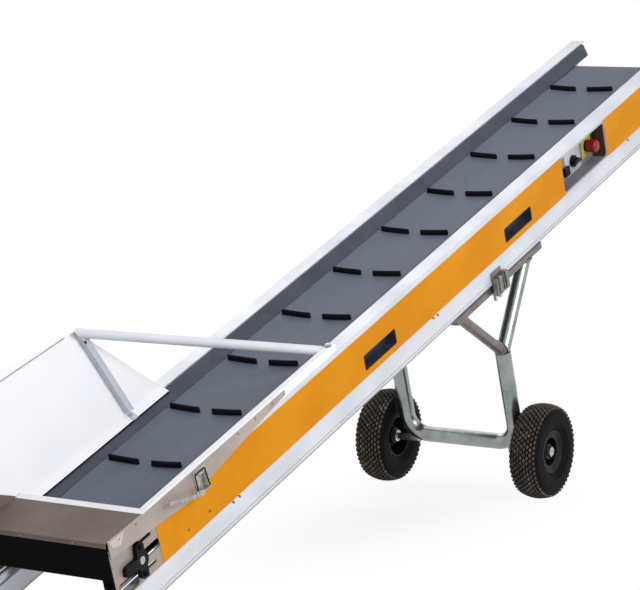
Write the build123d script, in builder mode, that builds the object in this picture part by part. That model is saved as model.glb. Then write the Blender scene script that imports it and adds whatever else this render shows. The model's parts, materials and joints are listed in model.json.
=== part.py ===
"""Portable belt conveyor: a cleated belt between two aluminium side rails, with a loading hopper at
the tail, a recessed control panel and a tube stand on two wheels.

Everything is drawn level, in the belt's own frame, in millimetres: X runs uphill from the tail end of
the side rails, Y runs from the near side to the far side, and Z is zero on the belt's carrying face.
The last section tips the whole conveyor up to its parked slope and sets it on the floor.
"""
import os
from math import cos, degrees, pi, radians, sin, tan

from build123d import *

os.makedirs("parts", exist_ok=True)

# Parked slope
incline = 19.0              # belt against the floor, degrees
tail_clearance = 21.0       # lowest corner of the rails above the floor

# Side rails, sizes of one extrusion
rail_length = 3300.0
chamber_reach = 200.0       # middle of the belt to the outside of the bottom chamber
flange_set_back = 2.0       # outside of the top flange, in from the outside of the chamber
flange_width = 42.0
flange_top = 29.0
flange_thickness = 4.0
flange_lip = 16.0           # depth of the lip along the outside of the flange
web_recess = 6.0            # outside of the web, in from the outside of the flange
web_thickness = 4.0
chamber_top = -111.0        # hollow chamber along the bottom of the rail
chamber_shoulder = 8.0      # height of the slope from the web out to the chamber
rail_bottom = -173.5
chamber_width = 44.0
chamber_wall = 3.5
chamber_round = 8.0
groove_height = -156.0      # clamp groove along the outside of the chamber
groove_size = 3.0

# Openings in the rails
grip_length = 171.0         # hand holes
grip_height = 43.0
grip_round = 5.0
grip_level = -71.0
tail_grip_place = 1257.0
head_grip_set_back = 1222.0
tail_window_start = 14.0    # window under the tensioner, for clearing the tail drum
tail_window_end = 98.0
tail_window_top = -70.0
tail_window_bottom = -107.0
tail_window_round = 14.0
panel_set_back = 766.0      # middle of the control recess, from the head end of the rails
panel_length = 300.0
panel_top = 2.0
panel_bottom = -106.0
panel_round = 14.0
panel_depth = 44.0
panel_wall = 2.5

# Belt, drums and what carries the belt
belt_width = 270.0
belt_thickness = 5.0
drum_radius = 46.0          # inside of the belt where it turns
drum_gap = 0.2              # drum to belt
drum_length = 284.0
tail_drum_place = 107.0
head_drum_set_back = 160.0
shaft_radius = 10.0
shaft_gap = 0.1
cleat_rows = 23
first_cleat = 441.0         # lowest row that shows above the hopper's end wall
cleat_length = 88.0
cleat_gap = 38.0            # between the two cleats of a row
cleat_height = 18.0
cleat_thickness = 12.0
cleat_root = 1.0            # depth of a cleat moulded into the belt
bed_gap = 0.3               # slider bed to belt
bed_thickness = 3.0
bed_flange = 30.0
bed_set_back = 65.0         # ends of the bed, from the drum axes
bed_notch = 4.0             # room round the control tray
return_roller_radius = 20.0
return_roller_length = 20.0
return_roller_clearance = 11.0  # end of a roller to the inside of the chamber
return_roller_pin = 5.0
return_roller_places = (640.0, 1480.0, 2330.0)
spreader_radius = 14.0
spreader_level = -150.0
tail_spreader_places = (330.0, 1180.0)
head_spreader_set_backs = (1100.0, 270.0)

# Rubber skirts beside the belt
skirt_thickness = 4.0
skirt_set_in = 6.0          # outer edge of the part clamped under the flange, in from the web
skirt_foot = 118.5          # bottom edge, from the middle of the belt
skirt_slant = 33.0          # degrees, against the belt
skirt_gap = 0.3             # bottom edge to belt
skirt_start = 30.0
skirt_set_back = 20.0       # top edge, from the head end of the rails
skirt_head_cut = 45.0       # length cut off its bottom edge at the head

# Coloured film on the webs
film_thickness = 1.0
film_start = 193.0
film_set_back = 38.0        # from the head end of the rails
film_margin = 1.0

# Belt tensioners at the tail
tension_slot_height = 24.0
tension_slot_travel = 78.0
guide_slot_height = 9.0
guide_slot_travel = 58.0
guide_slot_spread = 36.0
holder_width = 30.0
holder_height = 92.0
holder_round = 12.0
holder_boss_radius = 24.0
holder_arm_length = 66.0    # arm from the shaft towards the tail
holder_arm_height = 26.0
holder_arm_round = 9.0
holder_thickness = 12.0
holder_bolt_radius = 6.5
holder_bolt_height = 7.0

# Tail plate and feet
tail_plate_thickness = 6.0
tail_plate_gap = 0.3        # top of the plate to the hopper's end wall
tail_plate_bottom = -45.0
tail_leg_width = 30.0
tail_bolt_drop = 14.0       # bolts below the crosspiece
tail_bolt_radius = 8.0
tail_bolt_height = 6.0
leg_spare = 40.0            # length of leg trimmed off by the floor
foot_length = 64.0
foot_width = 40.0

# Hopper
hopper_sheet = 3.0
hopper_seat_gap = 1.0       # hopper to the outside of the rails
rim_size = 22.0             # square tube round the hopper's mouth
end_wall_head = 142.0       # tail side of the rim tube across the belt
end_wall_rise = 5.0         # tail edge of the end wall, above the rim
end_wall_lip = 13.0         # depth of the lip that laps over the tail plate
rim_end = 1040.0
near_plate_start = 0.0
near_plate_tail_level = 12.0
near_plate_corner = 346.0   # lowest corner, under the latch
near_plate_low = -18.0
near_plate_shoulder = 440.0
near_plate_shoulder_level = 0.0
near_plate_end = 783.0
near_plate_tip = 12.0
far_wall_set_in = 2.0       # foot of the far wall, out from the inside of the flange
far_wall_lean = 65.5        # far wall against the belt, degrees
far_wall_start = 1.0
far_wall_tail = 100.0       # tail end of its top edge
far_wall_lip = 766.0
far_wall_corner = 605.0
far_wall_height = 249.0     # up the slope, at the corner post
far_wall_tail_height = 300.0
far_wall_fold = 16.0
far_wall_apron = 22.0       # flap that covers the top of the skirt
flap_gap = 1.0              # flap to skirt
post_size = 20.0
post_depth = 18.0
post_foot = 612.0
post_clear = 7.0            # foot of the post above the far wall's foot
brace_radius = 12.5
brace_near = 1010.0
brace_lift = 2.0            # under the brace, above the near rail
brace_spare = 40.0          # length trimmed off at each end
hanger_length = 150.0
hanger_place = 400.0
hanger_low = -40.0
latch_place = 375.0
latch_length = 70.0
latch_width = 56.0
latch_sheet = 3.0
cheek_length = 40.0
cheek_spacing = 46.0
cheek_height = 18.0
lever_length = 160.0
lever_width = 16.0
lever_thickness = 4.0
lever_rise = 15.0           # lever against the belt, degrees
hook_width = 12.0

# Wheel stand
stand_place = 1904.0        # legs and axle, from the tail end of the rails
hoop_radius = 23.0
hoop_bend = 62.0
hoop_lift = 17.0            # middle of the hoop's cross tube, above the axles
strut_radius = 15.5         # arms towards the tail
leg_radius = 20.0           # arms towards the head
arm_run = 200.0
arm_slope = 45.0            # arms against the rails, degrees
arm_spare = 40.0            # length trimmed off at each end
bar_height = 20.0
bar_width = 36.0
bar_tail = 245.0
bar_head = 285.0
clamp_length = 50.0
clamp_thickness = 6.0
clamp_reach = 34.0
clamp_stud_radius = 5.0
clamp_stud_length = 24.0
clamp_stud_spacing = 28.0
clamp_stud_set_in = 8.5
jaw_gap = 0.3

# Wheels
wheel_radius = 138.0
tyre_width = 92.0
tyre_gap = 8.0              # tyre to hoop
sidewall_rise = 26.0        # widest part of the tyre, above the bead
shoulder_height = 34.0      # top of the sidewall, below the crown
tread_edge_width = 11.0     # edge of the tread, in from the sidewall
tread_edge_drop = 9.0       # edge of the tread, below the crown
crown_width = 34.0
bead_radius = 60.0
bead_width = 64.0
rim_barrel = 4.0
rim_gap = 0.2               # rim to tyre
rim_disc = 7.0
dish_edge = 22.0            # outside of the rim's dish at the barrel, from the wheel's middle
dish_floor = 2.0            # the same at the hub
hub_radius = 24.0
hub_length = 44.0
axle_radius = 10.0
axle_running_gap = 0.05
axle_seat_gap = 0.1         # axle to hoop
axle_inner_end = 150.0
axle_end_gap = 1.0          # collar and nut to hub
collar_radius = 17.0
collar_length = 8.0
nut_radius = 15.0
nut_length = 9.0
hexagon = 6                 # sides of a nut or bolt head

# Control panel pieces, from the middle of the recess
stop_offset = 49.0          # in from the head end of the recess
stop_level = -57.0
stop_plate = 66.0
stop_plate_thickness = 3.0
stop_neck_radius = 15.0
stop_neck_length = 12.0
stop_cap_radius = 20.0
stop_cap_length = 16.0
stop_cap_edge = 6.0         # slope round the front of the cap
switch_offset = 4.0
switch_level = -67.0
switch_radius = 18.0
switch_depth = 10.0
knob_length = 44.0
knob_width = 10.0
knob_height = 12.0
socket_offset = -47.0
socket_level = -80.0
socket_width = 30.0
socket_height = 28.0
socket_depth = 10.0

# Worked out from the sizes above
rail_reach = chamber_reach - flange_set_back
web_reach = rail_reach - web_recess
web_inside = web_reach - web_thickness
flange_inside = rail_reach - flange_width
chamber_inside = chamber_reach - chamber_width
chamber_middle = chamber_reach - chamber_width / 2
grip_places = (tail_grip_place, rail_length - head_grip_set_back)
panel_place = rail_length - panel_set_back
panel_level = (panel_top + panel_bottom) / 2
panel_height = panel_top - panel_bottom
head_drum_place = rail_length - head_drum_set_back
spreader_places = [*tail_spreader_places, *[rail_length - set_back for set_back in head_spreader_set_backs]]
belt_turn = drum_radius + belt_thickness
drum_axis_level = -belt_turn
run_length = head_drum_place - tail_drum_place
loop_length = 2 * run_length + 2 * pi * belt_turn
slope = radians(incline)
belt_frame_height = tail_clearance - rail_bottom * cos(slope)
axle_level = (wheel_radius - belt_frame_height) / cos(slope) - stand_place * tan(slope)
hoop_level = axle_level + hoop_lift
hoop_reach = chamber_middle
wheel_middle = hoop_reach + hoop_radius + tyre_gap + tyre_width / 2
bar_bottom = rail_bottom - bar_height
fork_level = bar_bottom - arm_run
rim_outside = chamber_reach + hopper_seat_gap
rim_inside = rim_outside - rim_size
rim_top = flange_top + rim_size
rim_start = end_wall_head + rim_size
end_wall_tail = -tail_plate_thickness - hopper_sheet
end_wall_tail_top = rim_top + end_wall_rise
tail_plate_top = end_wall_tail_top - hopper_sheet - tail_plate_gap

SIDES = (("near", -1), ("far", 1))
pieces = []


def side_plane(y):
    """Plane at y whose axes run uphill along the belt and up from it."""
    return Plane.XZ.offset(-y)


def cross_plane(x):
    """Plane across the belt at x, whose axes run to the far side and up."""
    return Plane.YZ.offset(x)


def keep(builder, label):
    """List a finished piece under its node name."""
    builder.part.label = label
    pieces.append(builder.part)


# Side rails
rail_section = [
    (flange_inside, flange_top),
    (rail_reach, flange_top),
    (rail_reach, flange_top - flange_lip),
    (web_reach, flange_top - flange_lip),
    (web_reach, chamber_top),
    (chamber_reach, chamber_top - chamber_shoulder),
    (chamber_reach, groove_height + groove_size),
    (chamber_reach - groove_size, groove_height + groove_size),
    (chamber_reach - groove_size, groove_height),
    (chamber_reach, groove_height),
    (chamber_reach, rail_bottom + chamber_round),
    (chamber_reach - chamber_round, rail_bottom),
    (chamber_inside + chamber_round, rail_bottom),
    (chamber_inside, rail_bottom + chamber_round),
    (chamber_inside, chamber_top - chamber_wall),
    (chamber_inside + chamber_wall, chamber_top),
    (web_inside, chamber_top),
    (web_inside, flange_top - flange_thickness),
    (flange_inside, flange_top - flange_thickness),
]
chamber_hollow_top = chamber_top - chamber_shoulder - chamber_wall
chamber_hollow_bottom = rail_bottom + chamber_wall
chamber_hollow_width = chamber_width - 2 * chamber_wall - groove_size
chamber_hollow_middle = chamber_middle - groove_size / 2
hollow_level = (chamber_hollow_top + chamber_hollow_bottom) / 2
window_place = (tail_window_start + tail_window_end) / 2
window_level = (tail_window_top + tail_window_bottom) / 2
guide_levels = (drum_axis_level - guide_slot_spread, drum_axis_level + guide_slot_spread)

for side, sign in SIDES:
    with BuildPart() as side_rail:
        with BuildSketch(cross_plane(0)):
            with BuildLine():
                Polyline(*[(sign * reach, level) for reach, level in rail_section], close=True)
            make_face()
            with Locations((sign * chamber_hollow_middle, hollow_level)):
                Rectangle(
                    chamber_hollow_width,
                    chamber_hollow_top - chamber_hollow_bottom,
                    mode=Mode.SUBTRACT,
                )
        extrude(amount=rail_length)
        with BuildSketch(side_plane(sign * web_reach)):
            with Locations(*[(place, grip_level) for place in grip_places]):
                RectangleRounded(grip_length, grip_height, grip_round)
            with Locations((window_place, window_level)):
                RectangleRounded(
                    tail_window_end - tail_window_start,
                    tail_window_top - tail_window_bottom,
                    tail_window_round,
                )
            with Locations((tail_drum_place + tension_slot_travel / 2, drum_axis_level)):
                SlotCenterToCenter(tension_slot_travel, tension_slot_height)
            with Locations(*[(tail_drum_place + guide_slot_travel / 2, level) for level in guide_levels]):
                SlotCenterToCenter(guide_slot_travel, guide_slot_height)
            with Locations((head_drum_place, drum_axis_level)):
                Circle(shaft_radius + shaft_gap)
            if side == "near":
                with Locations((panel_place, panel_level)):
                    RectangleRounded(panel_length, panel_height, panel_round)
        extrude(amount=web_thickness + film_thickness, both=True, mode=Mode.SUBTRACT)
    keep(side_rail, f"side_rail_{side}")

# Coloured film on the webs
film_end = rail_length - film_set_back
film_top = flange_top - flange_lip - film_margin
film_bottom = chamber_top + film_margin
for side, sign in SIDES:
    with BuildPart() as stripe_film:
        with BuildSketch(side_plane(sign * (web_reach + film_thickness / 2))):
            with Locations(((film_start + film_end) / 2, (film_top + film_bottom) / 2)):
                Rectangle(film_end - film_start, film_top - film_bottom)
            with Locations(*[(place, grip_level) for place in grip_places]):
                RectangleRounded(grip_length, grip_height, grip_round, mode=Mode.SUBTRACT)
            if side == "near":
                with Locations((panel_place, panel_level)):
                    RectangleRounded(panel_length, panel_height, panel_round, mode=Mode.SUBTRACT)
        extrude(amount=film_thickness / 2, both=True)
    keep(stripe_film, f"stripe_film_{side}")

# Rubber skirts, clamped under the flanges and slanting down to the belt, cut on the slant at the head
skirt_reach = web_inside - skirt_set_in
skirt_end = rail_length - skirt_set_back
skirt_top = flange_top - flange_thickness
skirt_slope = radians(skirt_slant)
skirt_edge = skirt_foot - skirt_thickness * sin(skirt_slope)
skirt_edge_level = skirt_gap + skirt_thickness * cos(skirt_slope)
skirt_section = [
    (skirt_reach, skirt_top),
    (skirt_edge + (skirt_top - skirt_edge_level) / tan(skirt_slope), skirt_top),
    (skirt_edge, skirt_edge_level),
    (skirt_foot, skirt_gap),
    (skirt_foot + (skirt_top - skirt_thickness - skirt_gap) / tan(skirt_slope), skirt_top - skirt_thickness),
    (skirt_reach, skirt_top - skirt_thickness),
]
skirt_head_plane = Plane(
    origin=(skirt_end, 0, skirt_top), z_dir=(skirt_top - skirt_gap, 0, -skirt_head_cut)
)
for side, sign in SIDES:
    with BuildPart() as skirt:
        with BuildSketch(cross_plane(skirt_start)):
            with BuildLine():
                Polyline(*[(sign * reach, level) for reach, level in skirt_section], close=True)
            make_face()
        extrude(amount=rail_length - skirt_start)
        split(bisect_by=skirt_head_plane, keep=Keep.BOTTOM)
    keep(skirt, f"skirt_{side}")


# Belt with its cleats
def belt_place(distance):
    """Location on the outside of the belt, a distance along the loop from the foot of its upper run."""
    turn = pi * belt_turn
    if distance < run_length:
        return Location((tail_drum_place + distance, 0, 0))
    if distance < run_length + turn:
        angle = (distance - run_length) / belt_turn
        x = head_drum_place + belt_turn * sin(angle)
        z = drum_axis_level + belt_turn * cos(angle)
        return Location((x, 0, z), (0, degrees(angle), 0))
    if distance < 2 * run_length + turn:
        back = distance - run_length - turn
        return Location((head_drum_place - back, 0, drum_axis_level - belt_turn), (0, 180, 0))
    angle = pi + (distance - 2 * run_length - turn) / belt_turn
    x = tail_drum_place + belt_turn * sin(angle)
    z = drum_axis_level + belt_turn * cos(angle)
    return Location((x, 0, z), (0, degrees(angle), 0))


cleat_pitch = loop_length / cleat_rows
cleat_places = [
    belt_place((first_cleat - tail_drum_place + row * cleat_pitch) % loop_length)
    for row in range(cleat_rows)
]
cleat_offset = (cleat_length + cleat_gap) / 2

with BuildPart() as belt:
    with BuildSketch(side_plane(0)):
        with Locations(((tail_drum_place + head_drum_place) / 2, drum_axis_level)):
            SlotCenterToCenter(run_length, 2 * belt_turn)
            SlotCenterToCenter(run_length, 2 * drum_radius, mode=Mode.SUBTRACT)
    extrude(amount=belt_width / 2, both=True)
    with Locations(*cleat_places):
        with Locations((0, -cleat_offset, -cleat_root), (0, cleat_offset, -cleat_root)):
            Box(
                cleat_thickness,
                cleat_length,
                cleat_height + cleat_root,
                align=(Align.CENTER, Align.CENTER, Align.MIN),
            )
keep(belt, "belt")

# Drums, the tail one on the tensioners and the head one in the rails
for end, place, shaft_reach in (
    ("tail", tail_drum_place, web_reach + holder_thickness),
    ("head", head_drum_place, web_reach),
):
    with BuildPart() as drum:
        with BuildSketch(side_plane(0)):
            with Locations((place, drum_axis_level)):
                Circle(drum_radius - drum_gap)
        extrude(amount=drum_length / 2, both=True)
        with BuildSketch(side_plane(0)):
            with Locations((place, drum_axis_level)):
                Circle(shaft_radius)
        extrude(amount=shaft_reach, both=True)
    keep(drum, f"{end}_drum")

# Slider bed under the carrying run, notched beside the control recess
bed_top = -belt_thickness - bed_gap
bed_start = tail_drum_place + bed_set_back
bed_end = head_drum_place - bed_set_back
with BuildPart() as slider_bed:
    with BuildSketch(cross_plane(bed_start)):
        with Locations((0, bed_top)):
            Rectangle(2 * web_inside, bed_flange, align=(Align.CENTER, Align.MAX))
        with Locations((0, bed_top - bed_thickness)):
            Rectangle(
                2 * (web_inside - bed_thickness),
                bed_flange,
                align=(Align.CENTER, Align.MAX),
                mode=Mode.SUBTRACT,
            )
    extrude(amount=bed_end - bed_start)
    with Locations((panel_place, -web_inside, bed_top)):
        Box(
            panel_length + 2 * (panel_wall + bed_notch),
            2 * (panel_depth + bed_notch),
            2 * bed_flange,
            mode=Mode.SUBTRACT,
        )
keep(slider_bed, "slider_bed")

# Rollers on stub pins that carry the edges of the returning belt
return_level = drum_axis_level - belt_turn - bed_gap - return_roller_radius
return_reach = chamber_inside - return_roller_clearance - return_roller_length / 2
for side, sign in SIDES:
    with BuildPart() as return_rollers:
        with BuildSketch(side_plane(sign * return_reach)):
            with Locations(*[(place, return_level) for place in return_roller_places]):
                Circle(return_roller_radius)
        extrude(amount=return_roller_length / 2, both=True)
        with BuildSketch(side_plane(sign * return_reach)):
            with Locations(*[(place, return_level) for place in return_roller_places]):
                Circle(return_roller_pin)
        extrude(amount=-sign * (chamber_inside - return_reach))
    keep(return_rollers, f"return_rollers_{side}")

# Tubes that hold the rails apart
with BuildPart() as spreaders:
    with BuildSketch(side_plane(0)):
        with Locations(*[(place, spreader_level) for place in spreader_places]):
            Circle(spreader_radius)
    extrude(amount=chamber_inside, both=True)
keep(spreaders, "spreaders")

# Tensioners: cast holders on the webs, each with an arm towards the tail and two guide bolts
for side, sign in SIDES:
    with BuildPart() as tensioner:
        with BuildSketch(side_plane(sign * web_reach)):
            with Locations((tail_drum_place, drum_axis_level)):
                RectangleRounded(holder_width, holder_height, holder_round)
                Circle(holder_boss_radius)
                RectangleRounded(
                    holder_arm_length,
                    holder_arm_height,
                    holder_arm_round,
                    align=(Align.MAX, Align.CENTER),
                )
                Circle(shaft_radius + shaft_gap, mode=Mode.SUBTRACT)
        extrude(amount=-sign * holder_thickness)
        with BuildSketch(side_plane(sign * (web_reach + holder_thickness))):
            with Locations(*[(tail_drum_place, level) for level in guide_levels]):
                RegularPolygon(holder_bolt_radius, hexagon)
        extrude(amount=-sign * holder_bolt_height)
    keep(tensioner, f"tensioner_{side}")

# Tail plate, an upside-down U across the ends of the rails, down to the floor
floor_level = -belt_frame_height / cos(slope)
floor_plane = Plane(
    origin=(0, 0, floor_level), x_dir=(cos(slope), 0, -sin(slope)), z_dir=(sin(slope), 0, cos(slope))
)
leg_end = floor_level - leg_spare
with BuildPart() as tail_plate:
    with BuildSketch(cross_plane(-tail_plate_thickness)):
        with Locations((0, tail_plate_top)):
            Rectangle(2 * rail_reach, tail_plate_top - leg_end, align=(Align.CENTER, Align.MAX))
        with Locations((0, tail_plate_bottom)):
            Rectangle(
                2 * (rail_reach - tail_leg_width),
                tail_plate_bottom - leg_end,
                align=(Align.CENTER, Align.MAX),
                mode=Mode.SUBTRACT,
            )
    extrude(amount=tail_plate_thickness)
    bolt_reach = rail_reach - tail_leg_width / 2
    bolt_level = tail_plate_bottom - tail_bolt_drop
    with BuildSketch(cross_plane(-tail_plate_thickness)):
        with Locations((-bolt_reach, bolt_level), (bolt_reach, bolt_level)):
            RegularPolygon(tail_bolt_radius, hexagon)
    extrude(amount=-tail_bolt_height)
    split(bisect_by=floor_plane, keep=Keep.TOP)
keep(tail_plate, "tail_plate")

# Wedge feet under the tail ends of the rails
for side, sign in SIDES:
    with BuildPart() as foot:
        with BuildSketch(side_plane(sign * chamber_middle)):
            with Locations((0, rail_bottom)):
                Rectangle(foot_length, rail_bottom - leg_end, align=(Align.MIN, Align.MAX))
        extrude(amount=foot_width / 2, both=True)
        split(bisect_by=floor_plane, keep=Keep.TOP)
    keep(foot, f"foot_{side}")

# Hopper: rim tube along the near rail, and the plate that hangs from it outside the rail
with BuildPart() as hopper_rim:
    with BuildSketch(cross_plane(rim_start)):
        with Locations((-rim_outside, flange_top)):
            Rectangle(rim_size, rim_size, align=(Align.MIN, Align.MIN))
    extrude(amount=rim_end - rim_start)
    fillet(hopper_rim.edges().filter_by(Axis.X), radius=hopper_sheet)
keep(hopper_rim, "hopper_rim")

plate_top = rim_top - hopper_sheet
near_plate_outline = [
    (near_plate_start, end_wall_tail_top),
    (end_wall_head, rim_top),
    (end_wall_head, plate_top),
    (near_plate_end, plate_top),
    (near_plate_end, plate_top - near_plate_tip),
    (near_plate_shoulder, near_plate_shoulder_level),
    (near_plate_corner, near_plate_low),
    (near_plate_start, near_plate_tail_level),
]
with BuildPart() as hopper_near_plate:
    with BuildSketch(side_plane(-rim_outside)):
        with BuildLine():
            Polyline(*near_plate_outline, close=True)
        make_face()
    extrude(amount=hopper_sheet)
keep(hopper_near_plate, "hopper_near_plate")

# Hopper: tall far wall, leaning out, with a folded top edge and a flap over the skirt
lean = radians(far_wall_lean)
far_wall_foot = flange_inside + far_wall_set_in
far_wall_plane = Plane(
    origin=(0, far_wall_foot, flange_top + hopper_sheet * cos(lean) + flap_gap),
    x_dir=(1, 0, 0),
    z_dir=(0, -sin(lean), cos(lean)),
)
far_wall_outline = [
    (far_wall_start, 0),
    (far_wall_lip, 0),
    (far_wall_corner, far_wall_height),
    (far_wall_tail, far_wall_tail_height),
]
foot_level = far_wall_plane.origin.Z
flap_edge = far_wall_foot - far_wall_apron * cos(skirt_slope)
flap_edge_level = foot_level - far_wall_apron * sin(skirt_slope)
flap_bend = far_wall_plane.from_local_coords((0, 2 * hopper_sheet, 0))
flap_root = far_wall_plane.from_local_coords((0, hopper_sheet, -hopper_sheet / 2))
flap_section = [
    (far_wall_foot, foot_level),
    (flap_edge, flap_edge_level),
    (flap_edge - hopper_sheet * sin(skirt_slope), flap_edge_level + hopper_sheet * cos(skirt_slope)),
    (flap_bend.Y, flap_bend.Z),
    (flap_root.Y, flap_root.Z),
]
with BuildPart() as hopper_far_wall:
    with BuildSketch(far_wall_plane):
        with BuildLine():
            Polyline(*far_wall_outline, close=True)
        make_face()
    extrude(amount=-hopper_sheet)
    with BuildSketch(far_wall_plane):
        with BuildLine():
            Polyline(
                (far_wall_tail, far_wall_tail_height),
                (far_wall_corner, far_wall_height),
                (far_wall_corner, far_wall_height - hopper_sheet),
                (far_wall_tail, far_wall_tail_height - hopper_sheet),
                close=True,
            )
        make_face()
    extrude(amount=-far_wall_fold)
    with BuildSketch(cross_plane(rim_start)):
        with BuildLine():
            Polyline(*flap_section, close=True)
        make_face()
    extrude(amount=far_wall_lip - rim_start)
keep(hopper_far_wall, "hopper_far_wall")

# Hopper: end wall, a cover over the tail drum that laps over the tail plate and ends in the rim tube
with BuildPart() as hopper_end_wall:
    with BuildSketch(side_plane(0)):
        with BuildLine():
            Polyline(
                (end_wall_tail, end_wall_tail_top - end_wall_lip),
                (end_wall_tail, end_wall_tail_top),
                (end_wall_head, rim_top),
                (rim_start, rim_top),
                (rim_start, flange_top + skirt_gap),
                (end_wall_head, flange_top + skirt_gap),
                (end_wall_head, rim_top - hopper_sheet),
                (end_wall_tail + hopper_sheet, end_wall_tail_top - hopper_sheet),
                (end_wall_tail + hopper_sheet, end_wall_tail_top - end_wall_lip),
                close=True,
            )
        make_face()
    extrude(amount=rim_outside, both=True)
    split(bisect_by=far_wall_plane, keep=Keep.TOP)
keep(hopper_end_wall, "hopper_end_wall")

# Hopper: corner post on the inside of the far wall, and the brace tube from it to the near rim
with BuildPart() as hopper_post:
    with BuildSketch(far_wall_plane):
        with BuildLine():
            Polyline(
                (post_foot - post_size / 2, post_clear),
                (post_foot + post_size / 2, post_clear),
                (far_wall_corner + post_size / 2, far_wall_height),
                (far_wall_corner - post_size / 2, far_wall_height),
                close=True,
            )
        make_face()
    extrude(amount=post_depth)
keep(hopper_post, "hopper_post")

post_face = far_wall_plane.offset(post_depth)
brace_tip = post_face.from_local_coords((far_wall_corner, far_wall_height - brace_radius, 0))
brace_start = Vector(brace_near, -rim_inside, flange_top + brace_radius + brace_lift)
brace_line = (brace_tip - brace_start).normalized()
with BuildPart() as hopper_brace:
    with BuildSketch(Plane(origin=brace_start - brace_line * brace_spare, z_dir=brace_line)):
        Circle(brace_radius)
    extrude(amount=(brace_tip - brace_start).length + 2 * brace_spare)
    split(bisect_by=post_face, keep=Keep.TOP)
    split(bisect_by=Plane(origin=brace_start, z_dir=(0, 1, 0)), keep=Keep.TOP)
keep(hopper_brace, "hopper_brace")

# Hopper: hanger that hooks the far wall over the outside of the far rail
hanger_inside = chamber_reach + hopper_seat_gap
hanger_top = flange_top + hopper_sheet
wall_back_at_hanger = far_wall_foot + hopper_sheet / sin(lean) + (hanger_top - foot_level) / tan(lean)
with BuildPart() as hopper_hanger:
    with BuildSketch(cross_plane(hanger_place - hanger_length / 2)):
        with BuildLine():
            Polyline(
                (wall_back_at_hanger + hopper_sheet, flange_top),
                (wall_back_at_hanger + hopper_sheet, hanger_top),
                (hanger_inside + hopper_sheet, hanger_top),
                (hanger_inside + hopper_sheet, hanger_low),
                (hanger_inside, hanger_low),
                (hanger_inside, flange_top),
                close=True,
            )
        make_face()
    extrude(amount=hanger_length)
keep(hopper_hanger, "hopper_hanger")

# Toggle latches: base plate, two cheeks, a lever across them and the hook that it pulls
for side, sign, face, latch_level in (
    ("near", -1, rim_outside + hopper_sheet, (plate_top + near_plate_low) / 2),
    ("far", 1, hanger_inside + hopper_sheet, (hanger_top + hanger_low) / 2),
):
    lever_face = face + latch_sheet + cheek_height - lever_thickness
    with BuildPart() as toggle_latch:
        with BuildSketch(side_plane(sign * face)):
            with Locations((latch_place, latch_level)):
                RectangleRounded(latch_length, latch_width, latch_sheet)
        extrude(amount=-sign * latch_sheet)
        with BuildSketch(side_plane(sign * (face + latch_sheet))):
            with Locations((latch_place, latch_level)):
                with GridLocations(0, cheek_spacing, 1, 2):
                    Rectangle(cheek_length, latch_sheet)
        extrude(amount=-sign * cheek_height)
        with BuildSketch(side_plane(sign * lever_face)):
            with Locations((latch_place, latch_level - cheek_spacing / 2)):
                RectangleRounded(
                    lever_length,
                    lever_width,
                    lever_thickness,
                    rotation=-lever_rise,
                    align=(Align.MAX, Align.CENTER),
                )
            with Locations((latch_place, latch_level)):
                Rectangle(hook_width, cheek_spacing + latch_sheet)
        extrude(amount=-sign * lever_thickness)
    keep(toggle_latch, f"toggle_latch_{side}")

# Control recess: an open tray behind the near web
tray_front = -web_inside
tray_back = -web_inside + panel_depth
with BuildPart() as control_tray:
    with BuildSketch(side_plane(tray_front)):
        with Locations((panel_place, panel_level)):
            RectangleRounded(
                panel_length + 2 * panel_wall, panel_height + 2 * panel_wall, panel_round + panel_wall
            )
    extrude(amount=-panel_depth)
    with BuildSketch(side_plane(tray_front)):
        with Locations((panel_place, panel_level)):
            RectangleRounded(panel_length, panel_height, panel_round)
    extrude(amount=-(panel_depth - panel_wall), mode=Mode.SUBTRACT)
keep(control_tray, "control_tray")

# Emergency stop: mushroom cap on a neck, in front of its square plate
panel_face = tray_back - panel_wall
stop_place = panel_place + panel_length / 2 - stop_offset
with BuildPart() as stop_plate_piece:
    with BuildSketch(side_plane(panel_face)):
        with Locations((stop_place, stop_level)):
            RectangleRounded(stop_plate, stop_plate, panel_wall)
    extrude(amount=stop_plate_thickness)
keep(stop_plate_piece, "emergency_stop_plate")

stop_seat = panel_face - stop_plate_thickness
stop_axis = Axis((stop_place, stop_seat, stop_level), (0, -1, 0))
stop_length = stop_neck_length + stop_cap_length
with BuildPart() as emergency_stop:
    with BuildSketch(Plane(origin=stop_axis.position, x_dir=(1, 0, 0), z_dir=(0, 0, 1))):
        with BuildLine():
            Polyline(
                (0, 0),
                (stop_neck_radius, 0),
                (stop_neck_radius, -stop_neck_length),
                (stop_cap_radius, -stop_neck_length),
                (stop_cap_radius, stop_cap_edge - stop_length),
                (stop_cap_radius - stop_cap_edge, -stop_length),
                (0, -stop_length),
                close=True,
            )
        make_face()
    revolve(axis=stop_axis)
keep(emergency_stop, "emergency_stop")

# Start switch with a wing knob, and the power inlet beside it
with BuildPart() as start_switch:
    with BuildSketch(side_plane(panel_face)):
        with Locations((panel_place + switch_offset, switch_level)):
            Circle(switch_radius)
    extrude(amount=switch_depth)
    with BuildSketch(side_plane(panel_face - switch_depth)):
        with Locations((panel_place + switch_offset, switch_level)):
            SlotOverall(knob_length, knob_width)
    extrude(amount=knob_height)
keep(start_switch, "start_switch")

with BuildPart() as inlet_socket:
    with BuildSketch(side_plane(panel_face)):
        with Locations((panel_place + socket_offset, socket_level)):
            RectangleRounded(socket_width, socket_height, panel_wall)
    extrude(amount=socket_depth)
keep(inlet_socket, "inlet_socket")

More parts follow.
